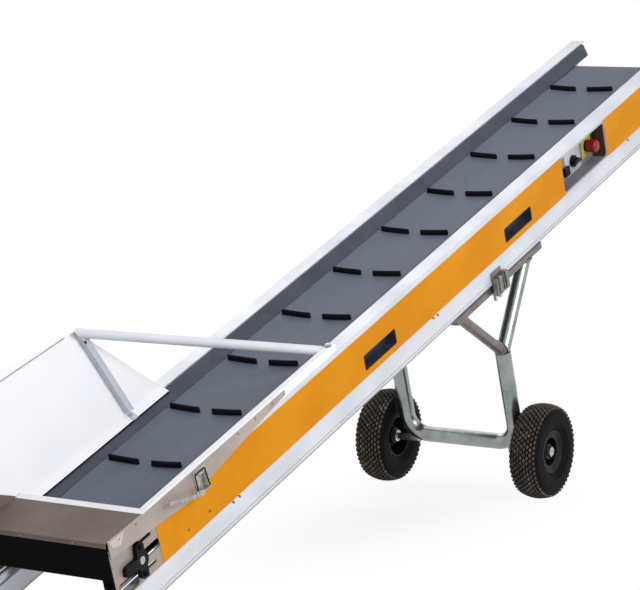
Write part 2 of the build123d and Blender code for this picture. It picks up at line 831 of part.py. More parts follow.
# Wheel stand: bent hoop, two arms a side, and a bar a side under the rails
with BuildPart() as stand_hoop:
    with BuildLine() as hoop_path:
        FilletPolyline(
            (stand_place, -hoop_reach, fork_level),
            (stand_place, -hoop_reach, hoop_level),
            (stand_place, hoop_reach, hoop_level),
            (stand_place, hoop_reach, fork_level),
            radius=hoop_bend,
        )
    with BuildSketch(Plane(origin=hoop_path.line @ 0, z_dir=hoop_path.line % 0)):
        Circle(hoop_radius)
    sweep(path=hoop_path.line)
keep(stand_hoop, "stand_hoop")

arm_rise = radians(arm_slope)
for side, sign in SIDES:
    for arm, way, arm_radius in (("strut", -1, strut_radius), ("leg", 1, leg_radius)):
        with BuildPart() as stand_arm:
            arm_line = Vector(way * cos(arm_rise), 0, sin(arm_rise))
            arm_foot = Vector(stand_place, sign * hoop_reach, fork_level)
            with BuildSketch(Plane(origin=arm_foot - arm_line * arm_spare, z_dir=arm_line)):
                Circle(arm_radius)
            extrude(amount=arm_run / sin(arm_rise) + 2 * arm_spare)
            split(bisect_by=Plane(origin=arm_foot, z_dir=(0, 0, 1)), keep=Keep.TOP)
            split(bisect_by=Plane(origin=arm_foot, z_dir=(way, 0, 0)), keep=Keep.TOP)
            split(bisect_by=Plane(origin=(0, 0, bar_bottom), z_dir=(0, 0, 1)), keep=Keep.BOTTOM)
        keep(stand_arm, f"stand_{arm}_{side}")

    with BuildPart() as stand_bar:
        with BuildSketch(side_plane(sign * hoop_reach)):
            with Locations((stand_place, bar_bottom)):
                with Locations(((bar_head - bar_tail) / 2, 0)):
                    Rectangle(bar_head + bar_tail, bar_height, align=(Align.CENTER, Align.MIN))
        extrude(amount=bar_width / 2, both=True)
    keep(stand_bar, f"stand_bar_{side}")

# Clamps that hold the bars to the rails: a jaw in the rail's groove, and two studs
for side, sign in SIDES:
    with BuildPart() as stand_clamp:
        with BuildSketch(cross_plane(stand_place - clamp_length / 2)):
            with BuildLine():
                Polyline(
                    *[
                        (sign * reach, level)
                        for reach, level in (
                            (chamber_reach - groove_size + jaw_gap, groove_height + groove_size - jaw_gap),
                            (chamber_reach + clamp_thickness, groove_height + groove_size - jaw_gap),
                            (chamber_reach + clamp_thickness, bar_bottom - clamp_thickness),
                            (chamber_reach - clamp_reach, bar_bottom - clamp_thickness),
                            (chamber_reach - clamp_reach, bar_bottom),
                            (chamber_reach + jaw_gap, bar_bottom),
                            (chamber_reach + jaw_gap, groove_height + jaw_gap),
                            (chamber_reach - groove_size + jaw_gap, groove_height + jaw_gap),
                        )
                    ],
                    close=True,
                )
            make_face()
        extrude(amount=clamp_length)
        stud_reach = sign * (chamber_reach - clamp_stud_set_in)
        with Locations((stand_place, stud_reach, bar_bottom - clamp_thickness)):
            with GridLocations(clamp_stud_spacing, 0, 2, 1):
                Cylinder(
                    clamp_stud_radius, clamp_stud_length, align=(Align.CENTER, Align.CENTER, Align.MAX)
                )
    keep(stand_clamp, f"stand_clamp_{side}")

# Stub axles, coped to the hoop, with a collar behind each wheel and a nut outside it
collar_start = wheel_middle - hub_length / 2 - axle_end_gap - collar_length
nut_start = wheel_middle + hub_length / 2 + axle_end_gap
for side, sign in SIDES:
    with BuildPart() as axle:
        with BuildSketch(side_plane(sign * axle_inner_end)):
            with Locations((stand_place, axle_level)):
                Circle(axle_radius)
        extrude(amount=-sign * (nut_start + nut_length - axle_inner_end))
        with BuildSketch(side_plane(sign * collar_start)):
            with Locations((stand_place, axle_level)):
                Circle(collar_radius)
        extrude(amount=-sign * collar_length)
        with BuildSketch(side_plane(sign * nut_start)):
            with Locations((stand_place, axle_level)):
                RegularPolygon(nut_radius, hexagon)
        extrude(amount=-sign * nut_length)
        with BuildSketch(Plane(origin=hoop_path.line @ 0, z_dir=hoop_path.line % 0)):
            Circle(hoop_radius + axle_seat_gap)
        sweep(path=hoop_path.line, mode=Mode.SUBTRACT)
    keep(axle, f"axle_{side}")

# Wheels: balloon tyres on dished rims
barrel_radius = bead_radius - rim_gap
tyre_section = [
    # half width, radius
    (bead_width / 2, bead_radius),
    (tyre_width / 2, bead_radius + sidewall_rise),
    (tyre_width / 2, wheel_radius - shoulder_height),
    (tyre_width / 2 - tread_edge_width, wheel_radius - tread_edge_drop),
    (crown_width / 2, wheel_radius),
]
for side, sign in SIDES:
    wheel_axis = Axis((stand_place, sign * wheel_middle, axle_level), (0, 1, 0))
    wheel_plane = Plane(origin=wheel_axis.position, x_dir=(0, sign, 0), z_dir=(sign, 0, 0))
    with BuildPart() as tyre:
        with BuildSketch(wheel_plane):
            with BuildLine():
                Polyline(
                    *[(-reach, radius) for reach, radius in tyre_section],
                    *reversed(tyre_section),
                    close=True,
                )
            make_face()
        revolve(axis=wheel_axis)
    keep(tyre, f"tyre_{side}")

    with BuildPart() as wheel_rim:
        with BuildSketch(wheel_plane):
            with Locations((0, barrel_radius)):
                Rectangle(bead_width, rim_barrel, align=(Align.CENTER, Align.MAX))
            with BuildLine():
                Polyline(
                    (dish_edge, barrel_radius - rim_barrel),
                    (dish_floor, hub_radius),
                    (dish_floor - rim_disc, hub_radius),
                    (dish_edge - rim_disc, barrel_radius - rim_barrel),
                    close=True,
                )
            make_face()
            with Locations((0, axle_radius + axle_running_gap)):
                Rectangle(
                    hub_length,
                    hub_radius - axle_radius - axle_running_gap,
                    align=(Align.CENTER, Align.MIN),
                )
        revolve(axis=wheel_axis)
    keep(wheel_rim, f"wheel_rim_{side}")

# Tip the conveyor up to its parked slope, with the origin on the floor under its middle
tipped = [piece.moved(Location((0, 0, belt_frame_height), (0, -incline, 0))) for piece in pieces]
boxes = [piece.bounding_box() for piece in tipped]
middle_x = (min(box.min.X for box in boxes) + max(box.max.X for box in boxes)) / 2
middle_y = (min(box.min.Y for box in boxes) + max(box.max.Y for box in boxes)) / 2
lowest = min(box.min.Z for box in boxes)
for piece, drawn in zip(tipped, pieces):
    parked = piece.moved(Location((-middle_x, -middle_y, -lowest)))
    parked.label = drawn.label
    export_step(parked, f"parts/{drawn.label}.step")
print("origin", middle_x, middle_y, lowest)
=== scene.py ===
# %% [markdown]
# # Portable belt conveyor
# The conveyor comes as a packed set of solid pieces, each at its real size and place. This lesson dresses
# them: it gives every surface its finish, and models what is too fine for the solids, such as the tyre
# tread, the belt's moulded cleats, the screws, the welds and the latches.

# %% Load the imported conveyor
import json
import math

import bmesh
import bpy
import numpy as np
from mathutils import Matrix, Vector


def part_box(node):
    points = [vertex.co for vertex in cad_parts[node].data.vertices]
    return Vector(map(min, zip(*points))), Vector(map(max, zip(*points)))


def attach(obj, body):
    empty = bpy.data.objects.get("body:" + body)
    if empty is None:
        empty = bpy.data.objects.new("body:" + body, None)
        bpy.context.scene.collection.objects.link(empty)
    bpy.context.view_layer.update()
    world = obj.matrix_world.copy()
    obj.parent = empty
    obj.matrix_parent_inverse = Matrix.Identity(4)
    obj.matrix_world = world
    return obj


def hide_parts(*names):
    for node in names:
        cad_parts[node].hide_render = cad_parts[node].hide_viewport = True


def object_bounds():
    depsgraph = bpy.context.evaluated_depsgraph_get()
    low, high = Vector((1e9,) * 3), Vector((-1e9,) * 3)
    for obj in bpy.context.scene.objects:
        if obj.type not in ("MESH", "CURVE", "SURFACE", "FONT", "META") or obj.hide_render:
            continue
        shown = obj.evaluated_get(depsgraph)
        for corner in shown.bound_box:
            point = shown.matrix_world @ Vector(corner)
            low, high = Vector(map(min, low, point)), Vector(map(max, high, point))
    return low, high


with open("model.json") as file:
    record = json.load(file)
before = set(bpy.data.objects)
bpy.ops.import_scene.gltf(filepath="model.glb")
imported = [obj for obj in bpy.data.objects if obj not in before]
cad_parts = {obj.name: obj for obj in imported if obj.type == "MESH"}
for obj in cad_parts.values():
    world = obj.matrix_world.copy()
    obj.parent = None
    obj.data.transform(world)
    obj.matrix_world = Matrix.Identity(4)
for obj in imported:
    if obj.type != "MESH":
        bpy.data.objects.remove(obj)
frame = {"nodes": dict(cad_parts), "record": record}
CAD_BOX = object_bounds()
NODES = frame["nodes"]
print("pieces", len(NODES), "box", [[round(v, 3) for v in corner] for corner in CAD_BOX])

# %% [markdown]
# ## The belt's own frame
# The conveyor stands on a slope, but it is easier to think of it level. Every piece below is drawn in
# millimetres in the belt's frame: x uphill from the tail end of the rails, y from the near side to the far
# side, and z up from the belt's carrying face. One matrix, worked out from the near rail, then tips a
# finished mesh into place.

# %% Belt frame
MM = 0.001
FLANGE_TOP = 29.0           # top of the side rails, above the belt
RAIL_BOTTOM = -173.5
SIDES = (("near", -1), ("far", 1))

mounts = {mount["name"]: mount for mount in frame["record"]["mounts"]}
uphill = Vector(mounts["clamp_rail_near"]["axis"]).normalized()
SLOPE = math.atan2(uphill.z, uphill.x)
rail_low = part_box("side_rail_near")[0]
BELT_ORIGIN = Vector((
    rail_low.x + FLANGE_TOP * MM * math.sin(SLOPE),
    0,
    rail_low.z - RAIL_BOTTOM * MM * math.cos(SLOPE),
))
BELT = Matrix.Translation(BELT_ORIGIN) @ Matrix.Rotation(-SLOPE, 4, "Y") @ Matrix.Scale(MM, 4)
TO_BELT = BELT.inverted()
print("slope", round(math.degrees(SLOPE), 3), "belt origin", [round(v, 4) for v in BELT_ORIGIN])

# %% [markdown]
# ## Small tools
# One function adds a node with its settings and links, for materials and for geometry alike. One turns the
# sRGB codes that a paint chart gives into the linear numbers that the shader works in.


# %% Small tools
def set_inputs(tree, node, inputs):
    """Set a node's inputs to values, or link them from sockets. A node stands for its first output."""
    for key, value in inputs.items():
        if isinstance(value, bpy.types.Node):
            value = value.outputs[0]
        if isinstance(value, bpy.types.NodeSocket):
            tree.links.new(value, node.inputs[key])
        else:
            node.inputs[key].default_value = value


def add_node(tree, kind, inputs=None, **settings):
    """Add a node. Settings are its properties; inputs are values, or what to link from."""
    node = tree.nodes.new(kind)
    for key, value in settings.items():
        setattr(node, key, value)
    set_inputs(tree, node, inputs or {})
    return node


def srgb(code):
    """Linear colour of an sRGB hex code."""
    channels = [int(code[i:i + 2], 16) / 255 for i in (0, 2, 4)]
    return (*[c / 12.92 if c <= 0.04045 else ((c + 0.055) / 1.055) ** 2.4 for c in channels], 1.0)


def new_object(name, data):
    """An object of some data, linked into the scene."""
    made = bpy.data.objects.new(name, data)
    bpy.context.scene.collection.objects.link(made)
    return made


def new_material(name):
    """An empty material: its tree, and its shader, already linked to the output."""
    material = bpy.data.materials.new(name)
    material.use_nodes = True
    tree = material.node_tree
    tree.nodes.clear()
    shader = add_node(tree, "ShaderNodeBsdfPrincipled")
    add_node(tree, "ShaderNodeOutputMaterial", {"Surface": shader})
    return material, tree, shader


def lay_over(tree, tone, layers):
    """A tone with layers over it, each a cover and its own tone."""
    color = srgb(tone)
    for cover, layer in layers:
        inputs = {0: cover, 6: color, 7: srgb(layer)}
        color = add_node(tree, "ShaderNodeMix", inputs, data_type="RGBA").outputs[2]
    return color


print("white is", srgb("FFFFFF"))

# %% [markdown]
# ## A worked surface
# No real surface is one flat colour. Each finish below is two tones in soft patches, with a gloss that
# wavers and a fine grain of a real size. Some also have stretches of another colour, most of them painted
# shade, a bloom of dust, or rubbed edges, which are laid over the tones one by one. The patterns lie in the
# belt's frame, so that grain can run along the rails.


# %% A worked surface
def surface(name, tone, second, patch_mm, rough, metallic, specular, grain_mm, depth_mm, spread=0.08,
            zones=(), dust=None, worn=None):
    """A zone is a colour and the low and high corners, in mm, of the stretch that has it. Dust is a colour,
    its share and the size of its specks in mm. Worn is the colour that shows where edges are rubbed."""
    material, tree, shader = new_material(name)
    place = add_node(tree, "ShaderNodeMapping", {
        "Vector": add_node(tree, "ShaderNodeTexCoord").outputs["Object"],
        "Rotation": (0, SLOPE, 0), "Location": -(Matrix.Rotation(SLOPE, 3, "Y") @ BELT_ORIGIN),
    })
    patch = add_node(
        tree, "ShaderNodeTexNoise", {"Vector": place, "Scale": 1 / (patch_mm * MM), "Detail": 5.0}
    )
    patches = add_node(
        tree, "ShaderNodeMapRange", {"Value": patch, "From Min": 0.35, "From Max": 0.68},
        interpolation_type="SMOOTHSTEP",
    )
    layers = [(patches, second)]
    for zone_color, low, high in zones:
        middle = [(a + b) / 2 * MM for a, b in zip(low, high)]
        half = [(b - a) / 2 * MM for a, b in zip(low, high)]
        beyond = place
        for operation, term in (("SUBTRACT", middle), ("ABSOLUTE", (0, 0, 0)), ("SUBTRACT", half)):
            beyond = add_node(tree, "ShaderNodeVectorMath", {0: beyond, 1: term}, operation=operation)
        axes = add_node(tree, "ShaderNodeSeparateXYZ", {"Vector": beyond}).outputs
        furthest = axes["X"]
        for axis in "YZ":
            furthest = add_node(tree, "ShaderNodeMath", {0: furthest, 1: axes[axis]}, operation="MAXIMUM")
        inside = {"Value": furthest, "From Min": 0.3 * MM, "From Max": -0.3 * MM}
        layers.append((add_node(tree, "ShaderNodeMapRange", inside), zone_color))
    if dust:
        dust_color, share, speck_mm = dust
        speck = add_node(
            tree, "ShaderNodeTexNoise",
            {"Vector": place, "Scale": 1 / (speck_mm * MM), "Detail": 8.0, "Roughness": 0.65},
        )
        bloom = add_node(
            tree, "ShaderNodeMapRange", {"Value": speck, "From Min": 0.5, "From Max": 0.72, "To Max": share},
            interpolation_type="SMOOTHSTEP",
        )
        layers.append((bloom, dust_color))
    if worn:
        soft = add_node(tree, "ShaderNodeBevel", {"Radius": 2.5 * MM})
        true = add_node(tree, "ShaderNodeNewGeometry").outputs["Normal"]
        turned = add_node(tree, "ShaderNodeVectorMath", {0: soft, 1: true}, operation="DOT_PRODUCT")
        ragged = add_node(
            tree, "ShaderNodeMath", {0: patch, 1: 0.06, 2: turned.outputs["Value"]}, operation="MULTIPLY_ADD"
        )
        rubbed = {"Value": ragged, "From Min": 0.96, "From Max": 0.86, "To Max": 0.8}
        layers.append((add_node(tree, "ShaderNodeMapRange", rubbed), worn))
    span = {"To Min": rough - spread, "To Max": rough + spread}
    gloss = add_node(tree, "ShaderNodeMapRange", {"Value": patch, "From Min": 0.3, "From Max": 0.7, **span})
    sizes = grain_mm if isinstance(grain_mm, tuple) else (grain_mm,) * 3
    scale = [1 / (size * MM) for size in sizes]
    fine = add_node(tree, "ShaderNodeMapping", {"Vector": place, "Scale": scale})
    grain = add_node(tree, "ShaderNodeTexNoise", {"Vector": fine, "Scale": 1.0, "Detail": 3.0})
    bump = add_node(tree, "ShaderNodeBump", {"Height": grain, "Distance": depth_mm * MM, "Strength": 1.0})
    set_inputs(tree, shader, {
        "Base Color": lay_over(tree, tone, layers), "Roughness": gloss, "Normal": bump,
        "Metallic": metallic, "Specular IOR Level": specular,
    })
    return material


# %% [markdown]
# ## Finishes
# Each finish starts from the real material. The rails are extruded aluminium, drawn through a die, so
# their grain runs along them. The hopper is aluminium sheet, white inside, and painted shade makes its outer
# faces browner and darker. The stand is galvanised tube, whose zinc froze in flat crystals. Rubber is dull,
# with a bloom of dust. Grain finer than a pixel is drawn no finer than a millimetre, so that it still breaks
# up the light.

# %% Finishes
HAND_HOLES = (1257.0, 2078.0)       # middles of the hand holes, along the rails
RAIL_ZONES = (
    ("A3958B", (-20, -193.5, -110.5), (195, 193.5, 25)),        # painted shade and reflection on the web round the tail drum
    ("A3A1A0", (-20, -210, -180), (3400, 210, -162)),           # painted shade under the bottom chambers
    # painted shade on the cut edges inside the hand holes
    *[("4A3F3E", (x - 86.5, -193.5, -94), (x + 86.5, 193.5, -48)) for x in HAND_HOLES],
)
BARE_SHADED_BANDS = ((-120, -98), (-5, 20))        # bare metal below and above the control recess, greyed by painted shade
FILM_ZONES = tuple(("B9BAC2", (2390, -260, low), (2678, -100, high)) for low, high in BARE_SHADED_BANDS)
LEDGE_ZONES = (("F1F1F7", (141, -400, 0), (200, 165, 100)),)        # the end wall's ledge beside the belt, in the sheet's own white, without painted shade
TRAY_ZONES = (("4A3633", (2672, -260, -150), (2750, -100, 50)),)    # the tray's shaded head end
FINISH_ROWS = (
    # name, tone, second tone, patch mm, roughness, metallic, specular level, grain mm, grain depth mm, more
    # Drawn through a die: pale metal with faint lines along it
    ("extruded_aluminium", "DADDE6", "CFD2DB", 160, 0.42, 0.3, 0.5, (400, 1.2, 1.2), 0.02,
     {"zones": RAIL_ZONES}),
    # Cast vinyl: an even strong colour with a broad soft shine
    ("orange_film", "DA8F08", "D28506", 220, 0.46, 0.0, 0.08, 6, 0.01, {"spread": 0.05, "zones": FILM_ZONES}),
    # Extruded rubber, greyed by dust
    ("skirt_rubber", "444957", "3D4250", 120, 0.6, 0.0, 0.25, 2, 0.06, {"dust": ("5C6170", 0.35, 30)}),
    # Moulded rubber, nearly black
    ("cleat_rubber", "0B0C14", "11131C", 25, 0.6, 0.0, 0.1, 1.5, 0.08),
    # Rolled sheet: white inside. Browner, darker copies of it on the outer faces and the end are painted
    # shade, and a paler copy on the corner tab is a painted highlight
    ("scoured_aluminium_sheet", "FAFAFE", "F6F7FC", 150, 0.45, 0.0, 0.3, 3, 0.01),
    ("dusty_aluminium_sheet", "B2A69E", "A2958D", 180, 0.45, 0.2, 0.5, (60, 2, 2), 0.02),
    ("dull_aluminium_sheet", "6C5E55", "61544B", 160, 0.5, 0.1, 0.3, (2, 60, 2), 0.02,
     {"zones": LEDGE_ZONES}),
    ("rubbed_aluminium_sheet", "CDC2BD", "C2B6B0", 40, 0.45, 0.2, 0.5, (30, 2, 2), 0.02),
    # Hot-dip zinc: bright with flat crystals on the tube, duller on the struts and bars; the green tint of
    # the tube and the brown of the struts and bars are painted reflections
    ("galvanised_tube", "99A09E", "888F8C", 45, 0.25, 0.95, 0.5, 60, 0.02, {"spread": 0.04}),
    ("weathered_galvanised_steel", "857B79", "776E6C", 40, 0.4, 0.85, 0.5, 40, 0.02, {"spread": 0.06}),
    # Plated zinc: smooth, cool and bright
    ("bright_zinc", "B4B7BD", "A1A4AA", 30, 0.32, 0.9, 0.5, 20, 0.01),
    # Sprayed paint: white with a soft shine
    ("white_painted_tube", "E4E8EE", "DCE0E7", 60, 0.4, 0.0, 0.4, 20, 0.01),
    # Brushed across: a satin grey
    ("brushed_aluminium_post", "BFC5CF", "B4BAC5", 60, 0.4, 0.3, 0.5, (1.5, 60, 60), 0.01),
    # Frozen puddles of steel: mottled, and glossy in spots
    ("weld_bead", "7E807E", "66645F", 8, 0.35, 0.9, 0.5, 3, 0.02),
    # Sand cast and painted: pitted black, grey at the rubbed edges
    ("black_cast_iron", "0A090B", "110F12", 20, 0.5, 0.0, 0.12, 2.5, 0.12, {"worn": "2C2A2A"}),
    # Sprayed on sheet: a flat deep black
    ("black_paint", "040203", "070506", 90, 0.55, 0.0, 0.03, 3, 0.02, {"worn": "1C1918"}),
    # Moulded rubber: clean black flanks, and a tread full of pale dust
    ("tyre_rubber", "09080A", "0E0D10", 40, 0.6, 0.0, 0.06, 2, 0.05),
    ("dusty_tread_rubber", "564E49", "453E3B", 22, 0.85, 0.0, 0.15, 2, 0.08, {"dust": ("8A7E66", 0.9, 26)}),
    # Moulded plastics: even colours, with a fine spark-eroded grain
    ("black_rim_plastic", "08080A", "0E0D11", 40, 0.42, 0.0, 0.18, 1.5, 0.02),
    ("grey_tray_plastic", "86868E", "7A7A82", 60, 0.5, 0.0, 0.2, 1.2, 0.03, {"zones": TRAY_ZONES}),
    # Brushed sheet: pale, with lines along it
    ("pale_panel_plate", "C0C0C9", "B6B6C0", 40, 0.4, 0.2, 0.5, (30, 1, 1), 0.01),
    # More moulded plastics: a glossy red, a satin yellow and a satin black
    ("red_button_plastic", "96101A", "850D15", 15, 0.3, 0.0, 0.35, 2, 0.01, {"spread": 0.04}),
    ("yellow_plate", "C0AF42", "B1A13C", 25, 0.45, 0.0, 0.12, 2, 0.01),
    ("black_switch_plastic", "0A0A0C", "101012", 12, 0.4, 0.0, 0.15, 1, 0.02),
    # Steel whose plating has gone: brown
    ("browned_screw", "8A6A34", "765A2C", 6, 0.5, 0.4, 0.5, 3, 0.01),
    # Cast steel: grimy, bright at the rubbed edges
    ("grimy_clamp_steel", "8B8D84", "70716A", 14, 0.4, 0.6, 0.5, 6, 0.03, {"worn": "A3A39B"}),
    # Pressed and plated sheet, dulled
    ("dull_zinc_latch", "B6B4B0", "94918D", 14, 0.36, 0.5, 0.5, 8, 0.02),
    # Moulded plastic, dark slate
    ("slate_grip_plastic", "3F4350", "343843", 50, 0.5, 0.0, 0.12, 1.2, 0.03),
)
FINISHES = {row[0]: surface(*row[:9], **dict(*row[9:])) for row in FINISH_ROWS}
print("finishes", len(FINISHES))

# %% [markdown]
# ## Belt rubber
# The belt is a flat rubber loop. Its top is rubbed smooth in long streaks by what it carries, and dust
# lies in the streaks. The streaks follow the belt round its drums, so this finish reads the belt's own UV
# map, which holds metres along the loop and across it.

# %% Belt rubber
BELT_PATTERNS = (
    # name, size along and across the belt in mm, detail
    ("streaks", 700, 14, 4.0),
    ("patches", 260, 90, 5.0),
    ("weave", 2.4, 2.4, 2.0),
)
BELT_LAYERS = (("patches", 0.5, "555C6C"), ("streaks", 0.35, "6E7583"))     # pattern, share, tone
FINISHES["belt_rubber"], belt_tree, belt_shader = new_material("belt_rubber")
belt_uv = add_node(belt_tree, "ShaderNodeUVMap", uv_map="along_across")
belt_noise = {}
for name, along_mm, across_mm, detail in BELT_PATTERNS:
    scale = (1 / (along_mm * MM), 1 / (across_mm * MM), 1)
    stretched = add_node(belt_tree, "ShaderNodeMapping", {"Vector": belt_uv, "Scale": scale})
    belt_noise[name] = add_node(
        belt_tree, "ShaderNodeTexNoise", {"Vector": stretched, "Scale": 1.0, "Detail": detail}
    )
belt_layers = [
    (add_node(
        belt_tree, "ShaderNodeMapRange",
        {"Value": belt_noise[name], "From Min": 0.42, "From Max": 0.7, "To Max": share},
        interpolation_type="SMOOTHSTEP",
    ), tone)
    for name, share, tone in BELT_LAYERS
]
belt_gloss = {"Value": belt_noise["streaks"], "To Min": 0.5, "To Max": 0.72}
belt_bump = {"Height": belt_noise["weave"], "Distance": 0.12 * MM, "Strength": 1.0}
# Worn rubber: a slate grey with long pale streaks and a fine weave that takes the shine off
set_inputs(belt_tree, belt_shader, {
    "Base Color": lay_over(belt_tree, "5D6474", belt_layers),
    "Roughness": add_node(belt_tree, "ShaderNodeMapRange", belt_gloss),
    "Normal": add_node(belt_tree, "ShaderNodeBump", belt_bump),
    "Specular IOR Level": 0.25,
})
print("belt rubber nodes", len(belt_tree.nodes))

# %% [markdown]
# ## Pieces whose solid is already right
# Rails, tubes and plates keep their solids. A weld and a planar dissolve turn their loose triangles into
# clean faces, and a narrow bevel rounds the edges, because a real edge always catches a line of light.

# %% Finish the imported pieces
SOLID_FINISHES = (
    # finish, edge radius in mm, how the names of its nodes start
    ("extruded_aluminium", 1.2, "side_rail"),
    ("orange_film", 0.2, "stripe_film"),
    ("skirt_rubber", 0.8, "skirt"),
    ("belt_rubber", 0.8, "belt"),
    # The brown tint of this zinc is a painted reflection
    ("weathered_galvanised_steel", 0.5, "slider_bed"),
    ("weathered_galvanised_steel", 0.8, "stand_strut", "stand_bar"),
    ("bright_zinc", 0.5, "spreaders"),
    ("bright_zinc", 0.8, "axle"),
    ("bright_zinc", 1.0, "head_drum", "tail_drum"),
    ("black_switch_plastic", 1.0, "return_rollers", "start_switch", "inlet_socket"),
    ("black_cast_iron", 1.5, "tensioner"),
    ("black_paint", 1.0, "tail_plate"),
    ("black_paint", 2.0, "foot"),
    ("scoured_aluminium_sheet", 0.5, "hopper_rim"),
    ("scoured_aluminium_sheet", 0.8, "hopper_far_wall"),
    # Painted shade: the near plate, the hanger and the end wall take browner, darker copies of the hopper's
    # white sheet
    ("dusty_aluminium_sheet", 0.8, "hopper_near_plate", "hopper_hanger"),
    ("dull_aluminium_sheet", 0.8, "hopper_end_wall"),
    ("brushed_aluminium_post", 1.0, "hopper_post"),
    ("white_painted_tube", 0.5, "hopper_brace"),
    ("dull_zinc_latch", 0.5, "toggle_latch"),
    ("grey_tray_plastic", 0.8, "control_tray"),
    ("yellow_plate", 0.8, "emergency_stop_plate"),
    ("red_button_plastic", 0.8, "emergency_stop"),
    # The stand tube's green tint is a painted reflection
    ("galvanised_tube", 0.8, "stand"),
    ("grimy_clamp_steel", 0.8, "stand_clamp"),
    ("tyre_rubber", 0.5, "tyre"),
    ("black_rim_plastic", 0.8, "wheel_rim"),
)
solid_looks = {start: (finish, edge_mm) for finish, edge_mm, *starts in SOLID_FINISHES for start in starts}
for node, piece in NODES.items():
    finish, edge_mm = solid_looks[max((start for start in solid_looks if node.startswith(start)), key=len)]
    piece.data.materials.clear()
    piece.data.materials.append(FINISHES[finish])
    for name, kind, settings in (
        ("weld", "WELD", {"merge_threshold": 0.01 * MM}),
        ("flat_faces", "DECIMATE", {"decimate_type": "DISSOLVE", "angle_limit": math.radians(0.5)}),
        ("edges", "BEVEL", {
            "width": edge_mm * MM, "segments": 2, "limit_method": "ANGLE", "angle_limit": math.radians(35),
            "use_clamp_overlap": True, "harden_normals": True,
        }),
        ("normals", "WEIGHTED_NORMAL", {"keep_sharp": True}),
    ):
        modifier = piece.modifiers.new(name, kind)
        for key, value in settings.items():
            setattr(modifier, key, value)
print("finished", len(NODES), "packed pieces")

# %% [markdown]
# ## Mesh tools
# Turned pieces, such as wheels, buttons and screw heads, come from a profile spun round an axis. Pressed
# and cast pieces are skins lofted from outline to outline.


# %% Mesh tools
def lathe(build, profile, steps, closed=False):
    """Spin a profile of (radius, height) pairs round the z axis, in steps."""
    rings = []
    for step in range(steps):
        angle = 2 * math.pi * step / steps
        rings.append([build.verts.new((r * math.cos(angle), r * math.sin(angle), h)) for r, h in profile])
    spans = len(profile) if closed else len(profile) - 1
    for ring, following in zip(rings, rings[1:] + rings[:1]):
        for i in range(spans):
            j = (i + 1) % len(profile)
            build.faces.new((ring[i], following[i], following[j], ring[j]))


def loft(build, outlines):
    """Join outlines of as many points each into a skin, and cap both ends."""
    rings = [[build.verts.new(point) for point in outline] for outline in outlines]
    for ring, following in zip(rings, rings[1:]):
        for i in range(len(ring)):
            j = (i + 1) % len(ring)
            build.faces.new((ring[i], ring[j], following[j], following[i]))
    build.faces.new(rings[0])
    build.faces.new(rings[-1])


def rounded_rim(length, height, rounding, level=0.0):
    """Outline of a rectangle with round corners, round the z axis."""
    rim = []
    for corner, (sx, sy) in enumerate(((1, 1), (-1, 1), (-1, -1), (1, -1))):
        for step in range(5):
            angle = math.pi / 2 * (corner + step / 4)
            x = sx * (length / 2 - rounding) + rounding * math.cos(angle)
            rim.append(Vector((x, sy * (height / 2 - rounding) + rounding * math.sin(angle), level)))
    return rim


def plate(build, length, height, rounding, thick, place, edge=0.6):
    """A flat plate with round corners and softened edges, standing on the place's xy plane."""
    levels = ((edge, 0), (0, edge), (0, thick - edge), (edge, thick))
    loft(build, [
        [place @ point for point in rounded_rim(length - 2 * inset, height - 2 * inset, rounding, level)]
        for inset, level in levels
    ])


def on_side(sign, x, face, z, turn_deg=0.0):
    """A place on a side of the conveyor: its x axis uphill, its y axis up and its z axis outwards."""
    stand = Matrix(((1, 0, 0, x), (0, 0, sign, sign * face), (0, 1, 0, z), (0, 0, 0, 1)))
    return stand @ Matrix.Rotation(math.radians(turn_deg), 4, "Z")


def shaped(tool, *sizes, **settings):
    """A bmesh with one shape in it, made with one of the tools above."""
    build = bmesh.new()
    tool(build, *sizes, **settings)
    return build


# %% [markdown]
# ## From shape to piece
# A finished shape has its doubles merged and its faces turned outwards, and is moved to its place. It then
# gets its finish and its name, and rides on the body that it belongs to.


# %% From shape to piece
def to_mesh(name, build, place=Matrix(), smooth_deg=40):
    """A bmesh as a plain mesh in its place, smooth across edges flatter than an angle."""
    bmesh.ops.remove_doubles(build, verts=build.verts, dist=0.01)
    bmesh.ops.dissolve_degenerate(build, edges=build.edges, dist=0.001)
    bmesh.ops.recalc_face_normals(build, faces=build.faces)
    bmesh.ops.transform(build, matrix=place, verts=build.verts)
    mesh = bpy.data.meshes.new(name)
    build.to_mesh(mesh)
    build.free()
    mesh.shade_smooth()
    mesh.set_sharp_from_angle(angle=math.radians(smooth_deg))
    return mesh


def add_piece(name, shape, finish=None, body="conveyor", replaces=(), place=BELT):
    """A mesh, or a bmesh and its place, as a named piece that rides on a body."""
    mesh = to_mesh(name, shape, place) if isinstance(shape, bmesh.types.BMesh) else shape
    if finish:
        mesh.materials.clear()
        mesh.materials.append(FINISHES[finish])
    mesh.name = name
    piece = new_object(name, mesh)
    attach(piece, body)
    if replaces:
        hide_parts(*replaces)
    print(name, len(mesh.polygons), "faces on", body)


# %% [markdown]
# ## Geometry Nodes helpers
# What repeats or follows a path is grown by Geometry Nodes. A tree is built once, with named inputs for
# its sizes. To use it, a host mesh carries the points or the path, the inputs are set by their
# identifiers, and the evaluated result is copied out as a plain mesh, because the host isn't kept.


# %% Geometry Nodes helpers
def node_group(name, sizes):
    """A geometry tree with named inputs: the tree, and its input sockets by name."""
    tree = bpy.data.node_groups.new(name, "GeometryNodeTree")
    for label, kind in (("Geometry", "NodeSocketGeometry"), *sizes, ("Material", "NodeSocketMaterial")):
        tree.interface.new_socket(label, in_out="INPUT", socket_type=kind)
    tree.interface.new_socket("Geometry", in_out="OUTPUT", socket_type="NodeSocketGeometry")
    return tree, add_node(tree, "NodeGroupInput").outputs


